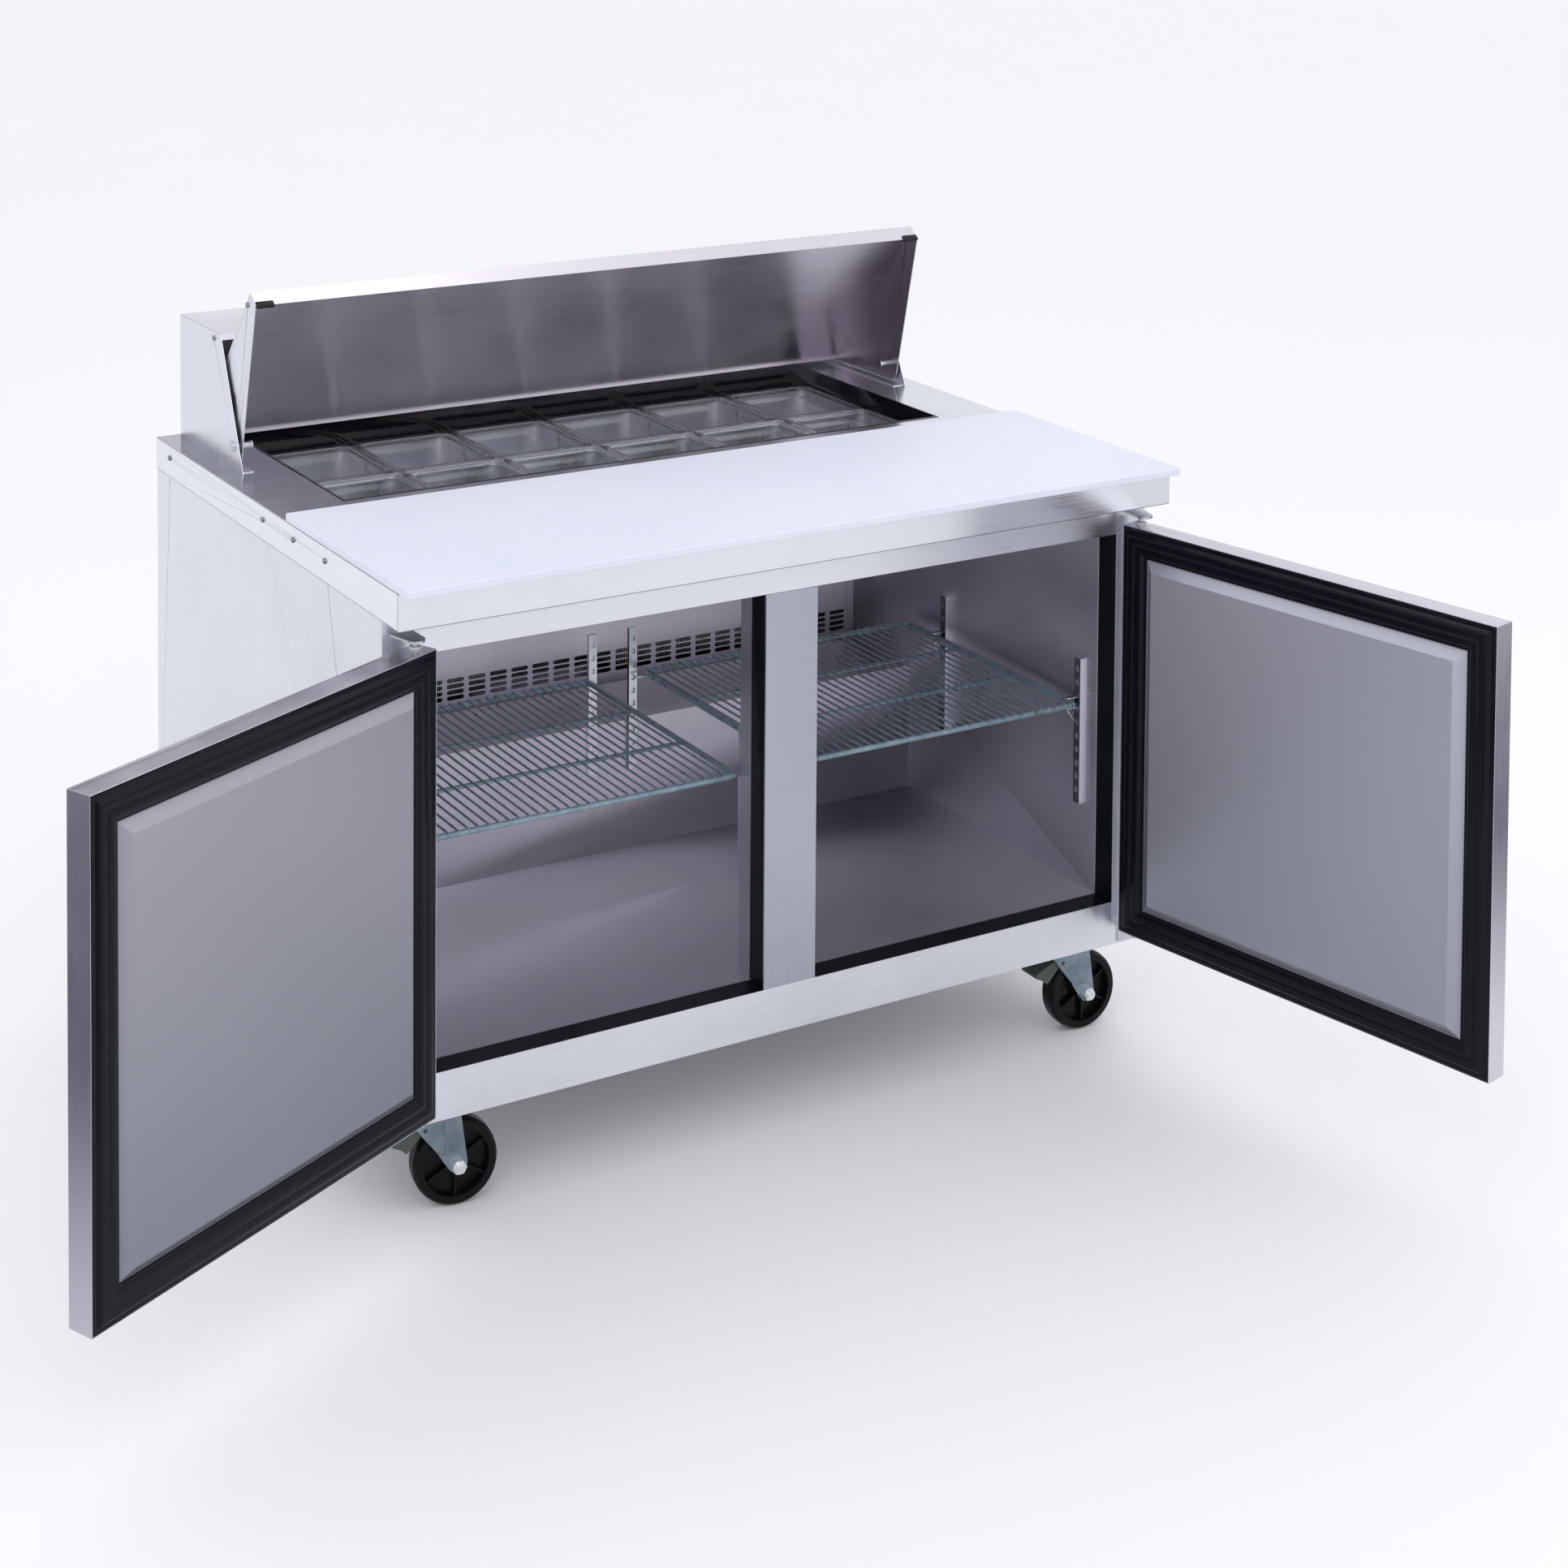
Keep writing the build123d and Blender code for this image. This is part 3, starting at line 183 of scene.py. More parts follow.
def steel(name, grain, light=(0.88, 0.89, 0.94), dark=(0.78, 0.79, 0.85), rough=(0.24, 0.40)):
    """Brushed stainless sheet; grain is the axis (0, 1 or 2) that the brush ran along."""
    mat, tree, bsdf = shader(name, light, 1.0, rough[0])
    stretch = [GRAIN_FINE] * 3
    stretch[grain] = GRAIN_LONG
    lines = noise(tree, stretch, 3.0, 0.7)
    clouds = noise(tree, (5, 5, 5), 3.0, 0.6)
    tone = math_node(tree, "ADD", remap(tree, lines, 0.0, 0.7), remap(tree, clouds, -0.15, 0.3))
    tree.links.new(blend_colors(tree, tone, dark, light), bsdf.inputs["Base Color"])
    low, high = rough
    grainy = remap(tree, lines, low, high)
    smudge = remap(tree, clouds, -0.04, 0.06)
    tree.links.new(math_node(tree, "ADD", grainy, smudge), bsdf.inputs["Roughness"])
    bump(tree, bsdf, lines, 0.00004, 0.5)
    spread_across_grain(tree, bsdf, grain)
    return mat


def plastic(name, color, rough, speck=0.00006, speck_scale=900.0, spread=0.12, specular=0.5):
    """Moulded plastic or rubber with a fine surface texture and a slightly uneven sheen."""
    mat, tree, bsdf = shader(name, color, 0.0, rough)
    bsdf.inputs["Specular IOR Level"].default_value = specular
    clouds = noise(tree, (14, 14, 14), 4.0, 0.6)
    darker = tuple(c * 0.82 for c in color)
    tree.links.new(blend_colors(tree, remap(tree, clouds, 0, 1), darker, color), bsdf.inputs["Base Color"])
    tree.links.new(remap(tree, clouds, rough - spread / 2, rough + spread / 2), bsdf.inputs["Roughness"])
    bump(tree, bsdf, noise(tree, (speck_scale,) * 3, 2.0), speck, 0.6)
    return mat


def board_material():
    """White polyethylene that lets a little light in."""
    mat, tree, bsdf = shader("board", (0.84, 0.86, 0.93), 0.0, 0.5)
    clouds = noise(tree, (3, 3, 3), 3.0)
    color = blend_colors(tree, remap(tree, clouds, 0, 1), (0.72, 0.75, 0.85), (0.76, 0.79, 0.88))
    tree.links.new(color, bsdf.inputs["Base Color"])
    tree.links.new(remap(tree, noise(tree, (60, 60, 60)), 0.42, 0.58), bsdf.inputs["Roughness"])
    bsdf.inputs["Subsurface Weight"].default_value = 0.15
    bsdf.inputs["Subsurface Radius"].default_value = (0.004, 0.004, 0.005)
    bump(tree, bsdf, noise(tree, (1100, 1100, 1100), 2.0), 0.0001, 0.5)
    return mat


def clear_material():
    """Clear moulded plastic."""
    mat, tree, bsdf = shader("clear_plastic", (0.93, 0.95, 0.98), 0.0, 0.04)
    bsdf.inputs["Transmission Weight"].default_value = 0.96
    bsdf.inputs["IOR"].default_value = 1.46
    tree.links.new(remap(tree, noise(tree, (40, 40, 40)), 0.02, 0.09), bsdf.inputs["Roughness"])
    return mat


def zinc_material(name, dark, light):
    """Zinc plating with its blue cast."""
    mat, tree, bsdf = shader(name, light, 1.0, 0.25)
    clouds = noise(tree, (30, 30, 30), 4.0)
    color = blend_colors(tree, remap(tree, clouds, 0, 1), dark, light)
    tree.links.new(color, bsdf.inputs["Base Color"])
    tree.links.new(remap(tree, clouds, 0.18, 0.36), bsdf.inputs["Roughness"])
    bump(tree, bsdf, noise(tree, (500, 500, 500)), 0.00005, 0.4)
    return mat


def wire_material():
    """Shelf wire with its grey-blue epoxy coat."""
    mat, tree, bsdf = shader("epoxy_wire", (0.30, 0.42, 0.47), 0.25, 0.3)
    clouds = noise(tree, (60, 60, 60), 3.0)
    color = blend_colors(tree, remap(tree, clouds, 0, 1), (0.17, 0.25, 0.31), (0.29, 0.38, 0.44))
    tree.links.new(color, bsdf.inputs["Base Color"])
    tree.links.new(remap(tree, clouds, 0.24, 0.4), bsdf.inputs["Roughness"])
    bump(tree, bsdf, noise(tree, (700, 700, 700)), 0.00008, 0.5)
    return mat


# The painted light on the door liners runs between these two heights.
DOOR_SPAN = (-0.68, -0.09)           # Z of the doors' lower and upper edges


def door_liner_material(name, low, high):
    """Smooth grey inner panel of the doors, with painted light: a little lighter towards the top."""
    mat, tree, bsdf = shader(name, high, 0.55, 0.34)
    clouds = noise(tree, (1.6, 1.6, 1.6), 2.0)
    # Painted light: the colour lightens from the doors' lower edge up to their upper edge.
    height = remap(tree, position(tree)["Z"], 0.0, 0.85, DOOR_SPAN)
    tone = math_node(tree, "ADD", height, remap(tree, clouds, 0, 0.15))
    color = blend_colors(tree, tone, low, high)
    tree.links.new(color, bsdf.inputs["Base Color"])
    tree.links.new(remap(tree, noise(tree, (90, 90, 90)), 0.32, 0.38), bsdf.inputs["Roughness"])
    bump(tree, bsdf, noise(tree, (260, 260, 260), 3.0), 0.00005, 0.4)
    return mat


def galvanised_material():
    """Galvanised sheet with its spangle."""
    mat, tree, bsdf = shader("galvanised", (0.5, 0.52, 0.55), 0.9, 0.45)
    coordinates = tree.nodes.new("ShaderNodeTexCoord")
    spangle = tree.nodes.new("ShaderNodeTexVoronoi")
    spangle.inputs["Scale"].default_value = 85.0
    tree.links.new(coordinates.outputs["Object"], spangle.inputs["Vector"])
    tone = remap(tree, spangle.outputs["Distance"], 0, 1, (0.0, 0.9))
    tree.links.new(blend_colors(tree, tone, (0.56, 0.58, 0.61), (0.44, 0.46, 0.5)), bsdf.inputs["Base Color"])
    tree.links.new(remap(tree, tone, 0.38, 0.55, (0, 1)), bsdf.inputs["Roughness"])
    return mat


def fins_material():
    """Packed aluminium fins, drawn as fine lines across the coil, with painted shade in the dark gaps between
    them.
    """
    mat, tree, bsdf = shader("fins", (0.62, 0.63, 0.65), 0.9, 0.4)
    coordinates = tree.nodes.new("ShaderNodeTexCoord")
    wave = tree.nodes.new("ShaderNodeTexWave")
    wave.inputs["Scale"].default_value = 90.0
    wave.inputs["Distortion"].default_value = 0.2
    tree.links.new(coordinates.outputs["Object"], wave.inputs["Vector"])
    # Painted shade: the dark bands stand for the shaded gaps between the fins.
    tree.links.new(blend_colors(tree, wave.outputs["Fac"], (0.12, 0.12, 0.13), (0.72, 0.73, 0.74)),
                   bsdf.inputs["Base Color"])
    bump(tree, bsdf, wave.outputs["Fac"], 0.0008, 0.8)
    return mat


# The worktop's skirt: its lowest edge, its end faces, and the seam just behind its front corners, with how far the
# painted shade lines along that edge and that seam reach.
SKIRT_FOOT = -57.4 * MM
SKIRT_SIDE = 610.3 * MM
SKIRT_CORNER = -162.0 * MM
HEM_SHADE_REACH = 1.1 * MM
SEAM_SHADE_REACH = 0.77 * MM


def steel_with_painted_hem_shade():
    """Worktop sheet with painted shade: a dark line along the foot of its skirt and up its front corners."""
    mat = steel("steel_with_painted_hem_shade", 0, rough=(0.14, 0.26))
    tree = mat.node_tree
    place = position(tree)
    foot = near(tree, place["Z"], SKIRT_FOOT, HEM_SHADE_REACH)
    side = math_node(tree, "GREATER_THAN", math_node(tree, "ABSOLUTE", place["X"]), SKIRT_SIDE)
    corner = math_node(tree, "MULTIPLY", side, near(tree, place["Y"], SKIRT_CORNER, SEAM_SHADE_REACH))
    # Painted shade: the line along the skirt's foot and the corner seams are pulled towards near-black.
    tint(mat, math_node(tree, "MAXIMUM", foot, corner), 0.75, (0.08, 0.08, 0.09))
    return mat


def dark_inside(name, grain, color):
    """Brushed sheet whose faces towards the middle of the table lie in shade."""
    mat = steel(name, grain)
    tree = mat.node_tree
    geometry = tree.nodes.new("ShaderNodeNewGeometry")
    facing = tree.nodes.new("ShaderNodeSeparateXYZ")
    tree.links.new(geometry.outputs["True Normal"], facing.inputs["Vector"])
    side = math_node(tree, "SIGN", position(tree)["X"])
    outward = math_node(tree, "MULTIPLY", side, facing.outputs["X"])
    tint(mat, math_node(tree, "LESS_THAN", outward, -0.5), 0.85, color)
    return mat


def trim_plastic(name, color):
    """Smooth glossy black of the parts round the pans."""
    return plastic(name, color, 0.13, 0.00002, 500.0, spread=0.06, specular=0.6)


steel_along_x = steel("steel_along_x", 0)
steel_upright = steel("steel_upright", 2)
liner_steel = steel("liner_steel", 2, (0.78, 0.75, 0.81), (0.68, 0.65, 0.72), (0.3, 0.42))
lid_steel = steel("lid_steel", 0, (0.82, 0.78, 0.83), (0.72, 0.68, 0.74), (0.26, 0.4))
door_steel = steel("door_steel", 2, (0.74, 0.74, 0.80), (0.64, 0.64, 0.70), (0.16, 0.28))
mullion_steel = steel("mullion_steel", 2, (0.55, 0.57, 0.65), (0.47, 0.49, 0.56))
screw_steel = steel("screw_steel", 0, (0.42, 0.42, 0.45), (0.26, 0.26, 0.28), (0.2, 0.32))
bright_steel = steel("bright_steel", 0, (0.72, 0.73, 0.77), (0.55, 0.56, 0.60), (0.2, 0.32))

BY_SLOT = {
    "stainless": steel_upright,
    "galvanised": galvanised_material(),
    "black_trim": plastic("black_trim", (0.006, 0.007, 0.010), 0.22, specular=0.3),
    "liner": liner_steel,
    "foam": plastic("foam", (0.80, 0.70, 0.42), 0.9, 0.0006, 300.0),
    "fasteners": bright_steel,
    "rubber": plastic("rubber", (0.010, 0.010, 0.012), 0.5, specular=0.3),
    "white_plastic": plastic("white_nylon", (0.82, 0.82, 0.80), 0.45),
    "aluminium": fins_material(),
    "fan_plastic": plastic("fan_plastic", (0.03, 0.03, 0.034), 0.4),
    "motor": plastic("motor_paint", (0.10, 0.10, 0.11), 0.35),
    "black_paint": plastic("black_paint", (0.02, 0.02, 0.022), 0.3, 0.00015, 400.0),
    "board": board_material(),
    "clear_plastic": clear_material(),
    "zinc": zinc_material("zinc", (0.17, 0.22, 0.27), (0.33, 0.38, 0.42)),
    "epoxy_wire": wire_material(),
    "door_liner": door_liner_material("door_liner", (0.31, 0.32, 0.38), (0.53, 0.53, 0.60)),
    "gasket": plastic("gasket", (0.005, 0.006, 0.011), 0.17, 0.00003, 1200.0, specular=0.16),
    "wheel": plastic("wheel", (0.004, 0.004, 0.006), 0.3, 0.0001, 700.0, specular=0.17),
    "pedal": plastic("pedal", (0.085, 0.098, 0.092), 0.45, specular=0.3),
}
bright_zinc = zinc_material("bright_zinc", (0.78, 0.80, 0.82), (0.92, 0.93, 0.95))
BY_NODE = {
    # Painted shade: the left door's liner is a darker copy of the right door's liner.
    "door_core_left": door_liner_material("door_liner_left_painted_shade", (0.23, 0.24, 0.29), (0.41, 0.41, 0.46)),
    "hood_housing": steel("hood_steel", 0, (0.97, 0.97, 1.0), (0.90, 0.90, 0.94), (0.10, 0.18)),
    "caster_axle_front_left": bright_zinc,
    "caster_axle_front_right": bright_zinc,
    "caster_axle_rear_left": bright_zinc,
    "caster_axle_rear_right": bright_zinc,
    "lid_panel": lid_steel,
    "worktop": steel_with_painted_hem_shade(),
    "centre_mullion": mullion_steel,
    "lid_cheeks": dark_inside("cheek_steel", 0, (0.34, 0.28, 0.33)),
    "shelf_pilasters": dark_inside("pilaster_steel", 2, (0.10, 0.10, 0.12)),
    "well_collar": trim_plastic("collar_trim", (0.008, 0.009, 0.014)),
    "air_duct_strip": trim_plastic("duct_trim", (0.010, 0.011, 0.017)),
    "door_shell_left": door_steel,
    "door_shell_right": door_steel,
    "sheet_screws": screw_steel,
    "lid_screws": screw_steel,
}
GRAIN_ALONG_X = ("front_rails", "pan_bars", "machine_grille")


# ---------------------------------------------------------------- CAD nodes

EDGE_BEVEL = {
    "board": 0.0,
    "stainless": 0.35 * MM,
    "zinc": 0.5 * MM,
    "wheel": 0.6 * MM,
    "door_liner": 0.6 * MM,
}
DEFAULT_BEVEL = 0.3 * MM
SHARP = math.radians(32)
WELD = 0.004 * MM


def soften(obj, width):
    """Round a CAD node's sharp edges a little, so that they catch the light."""
    obj.data.polygons.foreach_set("use_smooth", [True] * len(obj.data.polygons))
    weld = obj.modifiers.new("weld", "WELD")
    weld.merge_threshold = WELD
    if width:
        bevel = obj.modifiers.new("bevel", "BEVEL")
        bevel.width = width
        bevel.segments = 2
        bevel.limit_method = "ANGLE"
        bevel.angle_limit = SHARP
        bevel.harden_normals = False
    normals = obj.modifiers.new("normals", "WEIGHTED_NORMAL")
    normals.keep_sharp = False
    normals.weight = 80


def dress_cad_nodes():
    """Give every CAD node its material and its softened edges."""
    for part in frame["record"]["subparts"]:
        name, slot = part["node"], part["material_slot"]
        obj = nodes[name]
        mat = BY_NODE.get(name, steel_along_x if name in GRAIN_ALONG_X else BY_SLOT[slot])
        obj.data.materials.clear()
        obj.data.materials.append(mat)
        soften(obj, EDGE_BEVEL.get(slot, DEFAULT_BEVEL))


# ---------------------------------------------------------------- mesh helpers

def add_piece(name, bm, material, body, slot, *replaced):
    """Turn a bmesh into a piece that rides on a body and stands for CAD nodes."""
    bmesh.ops.recalc_face_normals(bm, faces=bm.faces)
    mesh = bpy.data.meshes.new(name)
    bm.to_mesh(mesh)
    bm.free()
    mesh.polygons.foreach_set("use_smooth", [True] * len(mesh.polygons))
    mesh.materials.append(material)
    obj = bpy.data.objects.new(name, mesh)
    bpy.context.scene.collection.objects.link(obj)
    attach(obj, body)
    if replaced:
        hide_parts(*replaced)
    return obj


def split_sharp(obj, degrees):
    """Shade a piece flat across edges that turn by more than some degrees."""
    obj.data.set_sharp_from_angle(angle=math.radians(degrees))
    return obj


def bridge(bm, loops, closed=False):
    """Join equal rings of vertices, one after another, into a skin."""
    pairs = list(zip(loops, loops[1:]))
    if closed:
        pairs.append((loops[-1], loops[0]))
    for a, b in pairs:
        for i in range(len(a)):
            j = (i + 1) % len(a)
            bm.faces.new((a[i], a[j], b[j], b[i]))


def rounded_rectangle(half_x, half_y, radius, segments=8):
    """Points round a rectangle with rounded corners, centred on the origin."""
    points = []
    for corner, (sx, sy) in enumerate(((1, 1), (-1, 1), (-1, -1), (1, -1))):
        for i in range(segments + 1):
            angle = math.radians(90 * (corner + i / segments))
            points.append((sx * (half_x - radius) + radius * math.cos(angle),
                           sy * (half_y - radius) + radius * math.sin(angle)))
    return points


def ring(bm, points):
    """New vertices at a row of points."""
    return [bm.verts.new(p) for p in points]


def tube(bm, path, radius, sides=10):
    """A round wire along a path of points, closed by domed ends."""
    path = [Vector(p) for p in path]
    loops = []
    across = None
    for i, point in enumerate(path):
        ahead = (path[min(i + 1, len(path) - 1)] - path[max(i - 1, 0)]).normalized()
        if across is None:
            across = ahead.orthogonal().normalized()
        across = (across - ahead * across.dot(ahead)).normalized()
        side = ahead.cross(across)
        rings = [(point, radius)]
        if i == 0:
            rings = [(point - ahead * radius * 0.8, radius * 0.5), (point, radius)]
        if i == len(path) - 1:
            rings = [(point, radius), (point + ahead * radius * 0.8, radius * 0.5)]
        for centre, r in rings:
            loops.append(ring(bm, [
                centre + (across * math.cos(t) + side * math.sin(t)) * r
                for t in (2 * math.pi * k / sides for k in range(sides))
            ]))
    bridge(bm, loops)
    bm.faces.new(loops[0][::-1])
    bm.faces.new(loops[-1])


# ---------------------------------------------------------------- doors

def door_opening(side):
    """The turn that brings a closed door to where it stands open at rest."""
    joint = joints[f"door_{side}_hinge"]
    pivot = Vector(joint["pos_m"])
    turn = Matrix.Rotation(math.radians(-joint["range_deg"][0]), 4, Vector(joint["axis"]))
    return Matrix.Translation(pivot) @ turn @ Matrix.Translation(-pivot)


def closed_box(node, opening):
    """Corners of a door's node with the door shut."""
    back = opening.inverted()
    points = [back @ v.co for v in nodes[node].data.vertices]
    low = Vector([min(p[i] for p in points) for i in range(3)])
    high = Vector([max(p[i] for p in points) for i in range(3)])
    return low, high


# The gasket's section, in millimetres: inset from the door's edge, height above the liner.
GASKET_SECTION = [
    (0, 0.1), (0, 1.6), (2.5, 2.4), (5.5, 2.2), (6.8, 3.6), (8.2, 5.6), (10.5, 6.9), (14, 7.35), (17.5, 7.2),
    (19.6, 6.2), (20.6, 5.2), (21.6, 6.0), (24, 6.8), (28, 7.0), (31.5, 6.4), (33.6, 5.0), (34.6, 3.0),
    (36, 2.1), (39.4, 1.7), (40, 0.1),
]


def door_gasket(side):
    """Ribbed magnetic gasket, mitred at the corners, with one closed section swept round the door."""
    node = f"door_gasket_{side}"
    opening = door_opening(side)
    low, high = closed_box(node, opening)
    bm = bmesh.new()
    for a, b in zip(GASKET_SECTION, GASKET_SECTION[1:] + GASKET_SECTION[:1]):
        strips = []
        for inset, height in (a, b):
            inset, y = inset * MM, low.y + height * MM
            corners = [(low.x + inset, low.z + inset), (high.x - inset, low.z + inset),
                       (high.x - inset, high.z - inset), (low.x + inset, high.z - inset)]
            strips.append(ring(bm, [opening @ Vector((x, y, z)) for x, z in corners]))
        bridge(bm, strips)
    bmesh.ops.remove_doubles(bm, verts=bm.verts, dist=0.01 * MM)
    obj = add_piece(f"gasket_{side}", bm, BY_SLOT["gasket"], f"door_{side}", "gasket", node)
    return split_sharp(obj, 40)


# ---------------------------------------------------------------- pans

PAN_COLUMNS = 6
PAN_PITCH = 166 * MM
PAN_WALL = 2.4 * MM
PAN_TAPER = 5.5 * MM                 # how far a pan's sides draw in on the way down
PAN_LIP = 13.2                       # from the rim's edge to the pan's inner side, in millimetres

# The pan's rim and shoulder: drawn in from the rim's edge, height below the rim's top, corner radius.
PAN_RIM = [
    (8.6, 3.2, 15), (7.2, 3.3, 15), (0.3, 2.9, 14), (0, 2.2, 14), (0, 1.4, 14), (0.4, 1.0, 14),
    (1.2, 0.9, 14), (4.6, 0.9, 14), (5.6, 0.7, 14), (6.2, 0.1, 14), (7.2, 0.0, 14), (8.6, 0.5, 15),
    (9.4, 1.6, 16), (9.9, 6, 17), (10.3, 14, 18), (12.6, 17, 18), (PAN_LIP, 19, 19),
]
PAN_SHOULDER = [(10.8, 20, 20), (10.3, 17.5, 19), (8.4, 15.5, 18), (8.8, 6, 17)]

# The pan's sides: share of the taper, height above the floor as a share of the depth, corner radius.
PAN_INSIDE = [(0.5, 0.45, 22), (0.93, 0.08, 25), (1.1, 0.045, 25), (1.6, 0.012, 24), (2.4, 0.0, 22)]
PAN_OUTSIDE = [(2.4, 0.0, 22), (1.5, 0.006, 25), (1.05, 0.03, 27), (0.93, 0.06, 27), (0.5, 0.45, 24)]


def pan_rings(half_x, half_y, top, depth):
    """Rings of one pan's skin: under the rim, over it, down the inside, and back up the outside."""

    def at(inset, z, radius):
        return (half_x - inset, half_y - inset, z, radius * MM)

    def from_rim(rows):
        return [at(inset * MM, top - down * MM, radius) for inset, down, radius in rows]

    def down_side(rows, thicker, foot):
        lip = PAN_LIP * MM - thicker
        return [at(lip + PAN_TAPER * share, foot + lift * depth, radius) for share, lift, radius in rows]

    inner = from_rim(PAN_RIM) + down_side(PAN_INSIDE, 0, top - depth + PAN_WALL)
    outer = down_side(PAN_OUTSIDE, PAN_WALL, top - depth) + from_rim(PAN_SHOULDER)
    return inner + outer, len(inner)


def food_pans(row, node):
    """A row of clear food pans with rolled rims and a stacking shoulder."""
    low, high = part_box(node)
    centre_y = (low.y + high.y) / 2
    half_y = (high.y - low.y) / 2
    half_x = (high.x - low.x - (PAN_COLUMNS - 1) * PAN_PITCH) / 2
    bm = bmesh.new()
    for column in range(PAN_COLUMNS):
        centre_x = low.x + half_x + column * PAN_PITCH
        sections, inside = pan_rings(half_x, half_y, high.z, high.z - low.z)
        loops = []
        for x, y, z, radius in sections:
            points = rounded_rectangle(x, y, radius, 9)
            loops.append(ring(bm, [(centre_x + px, centre_y + py, z) for px, py in points]))
        bridge(bm, loops[:inside])
        bridge(bm, loops[inside:] + loops[:1])
        bm.faces.new(loops[inside - 1])
        bm.faces.new(loops[inside][::-1])
    return add_piece(f"food_pans_{row}", bm, BY_SLOT["clear_plastic"], f"pans_{row}", "clear_plastic", node)


# ---------------------------------------------------------------- lid bumpers

# Section of a bumper, in millimetres: along the lid's edge strip from its free edge, and out of it.
BUMPER_SECTION = [
    (-6.5, 0.3), (-6.2, 1.7), (-5.0, 2.3), (2.0, 2.4), (3.4, 1.8), (4.0, 0.4), (4.0, -1.4), (3.2, -2.7),
    (1.8, -3.4), (-2.0, -3.5), (-3.4, -3.0), (-3.8, -1.7), (-3.8, -1.2), (-6.3, -1.2),
]
BUMPER_WIDTH = 26.6 * MM
BUMPER_ENDS = ((0, 0.8), (0.8, 1), (25.8, 1), (26.6, 0.8))      # place along the width, size of the section

# The strip along the lid's front, where the lid stands at rest: its fold and its free edge.
LID_FOLD = (0, 412.0 * MM, 254.4 * MM)
LID_EDGE = (0, 392.2 * MM, 238.6 * MM)


def lid_bumpers():
    """Rubber caps pushed over the two ends of the lid's free edge."""
    low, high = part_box("lid_bumpers")
    fold, edge = Vector(LID_FOLD), Vector(LID_EDGE)
    along = (edge - fold).normalized()
    out = Vector((0, along.z, -along.y))
    bm = bmesh.new()
    for left in (low.x, high.x - BUMPER_WIDTH):
        loops = []
        for x, size in BUMPER_ENDS:
            place = edge + Vector((left + x * MM, 0, 0))
            loops.append(ring(bm, [place + (along * a + out * b) * size * MM for a, b in BUMPER_SECTION]))
        bridge(bm, loops)
        bm.faces.new(loops[0][::-1])
        bm.faces.new(loops[-1])
    obj = add_piece("edge_bumpers", bm, BY_SLOT["rubber"], "lid", "rubber", "lid_bumpers")
    return split_sharp(obj, 50)


# ---------------------------------------------------------------- shelves

SHELF_PITCH = 15 * MM
SHELF_RAIL = 4.0 * MM                # radius of the frame wire
SHELF_CORNER = 14 * MM
RAIL_SIDES = 12
CROSS_WIRE = 3.0 * MM                # radius of the cross wires
CROSS_WIRES = (1 / 3, 2 / 3)         # their places along the shelf's depth
DECK_WIRE = 1.615 * MM               # radius of the deck wires
DECK_DROP = 2.0 * MM                 # from the top of the shelf's CAD node down to their centre line

# A deck wire's front end, in millimetres: forward of the front rail's centre line, and below the deck.
WIRE_END = [(-2.0, 0), (0.6, 0.2), (2.6, 1.6), (3.0, 4)]


def wire_shelf(side):
    """Wire deck whose thin wires bend down over the front rail."""
    node = f"shelf_{side}"
    low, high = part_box(node)
    rail = SHELF_RAIL
    z = low.z + rail
    bm = bmesh.new()
    centre = ((low.x + high.x) / 2, (low.y + high.y) / 2)
    outline = rounded_rectangle((high.x - low.x) / 2 - rail, (high.y - low.y) / 2 - rail, SHELF_CORNER, 6)
    up = Vector((0, 0, 1))
    loops = []
    count = len(outline)
    for i, (x, y) in enumerate(outline):
        before, after = outline[i - 1], outline[(i + 1) % count]
        ahead = Vector((after[0] - before[0], after[1] - before[1], 0)).normalized()
        out = ahead.cross(up)
        middle = Vector((centre[0] + x, centre[1] + y, z))
        angles = [2 * math.pi * k / RAIL_SIDES for k in range(RAIL_SIDES)]
        loops.append(ring(bm, [middle + (out * math.cos(t) + up * math.sin(t)) * rail for t in angles]))
    bridge(bm, loops, closed=True)
    front, back = low.y + rail, high.y - rail
    for share in CROSS_WIRES:
        y = front + (back - front) * share
        tube(bm, [(low.x + rail, y, z), (high.x - rail, y, z)], CROSS_WIRE)
    span = high.x - low.x - 4 * rail
    wires = int(span / SHELF_PITCH)
    start = centre[0] - wires * SHELF_PITCH / 2
    top = high.z - DECK_DROP
    for i in range(wires + 1):
        x = start + i * SHELF_PITCH
        end = [(x, front - beyond * MM, top - down * MM) for beyond, down in WIRE_END]
        tube(bm, [(x, back + 2 * MM, top)] + end, DECK_WIRE, 8)
    return add_piece(f"wire_deck_{side}", bm, BY_SLOT["epoxy_wire"], f"wire_shelf_{side}", "epoxy_wire", node)


# ---------------------------------------------------------------- shelf clips

CLIP_WIRE = 1.4 * MM
CLIP_SIDES = 8
CLIP_ROWS = (-48 * MM, 280 * MM)     # Y of the front and rear clips on the side walls
CLIP_SEAT = 1.5 * MM                 # how far a clip's seat lies below the top of its CAD node
CLIP_WALL = 544.4 * MM               # X where a clip enters the pilaster
CLIP_NOSE = 527 * MM
CLIP_TIP = 525 * MM
CLIP_HALF = 2.6 * MM                 # half the distance between a clip's two wires
CLIP_LOOP = 15.2 * MM                # from the seat up to the loop over the shelf

# A centre post's clips: Y of the post's face and of the clip's seat; X at the post and under the shelf.
POST_CLIPS = ((-45.2 * MM, -41 * MM), (370.2 * MM, 360 * MM))
POST_REACH = (35 * MM, 59 * MM)

# A clip's tail, in millimetres: in from the wall, and below the seat.
CLIP_TAIL = [(0, 22), (5, 19), (10, 12), (17.4, 2.8)]


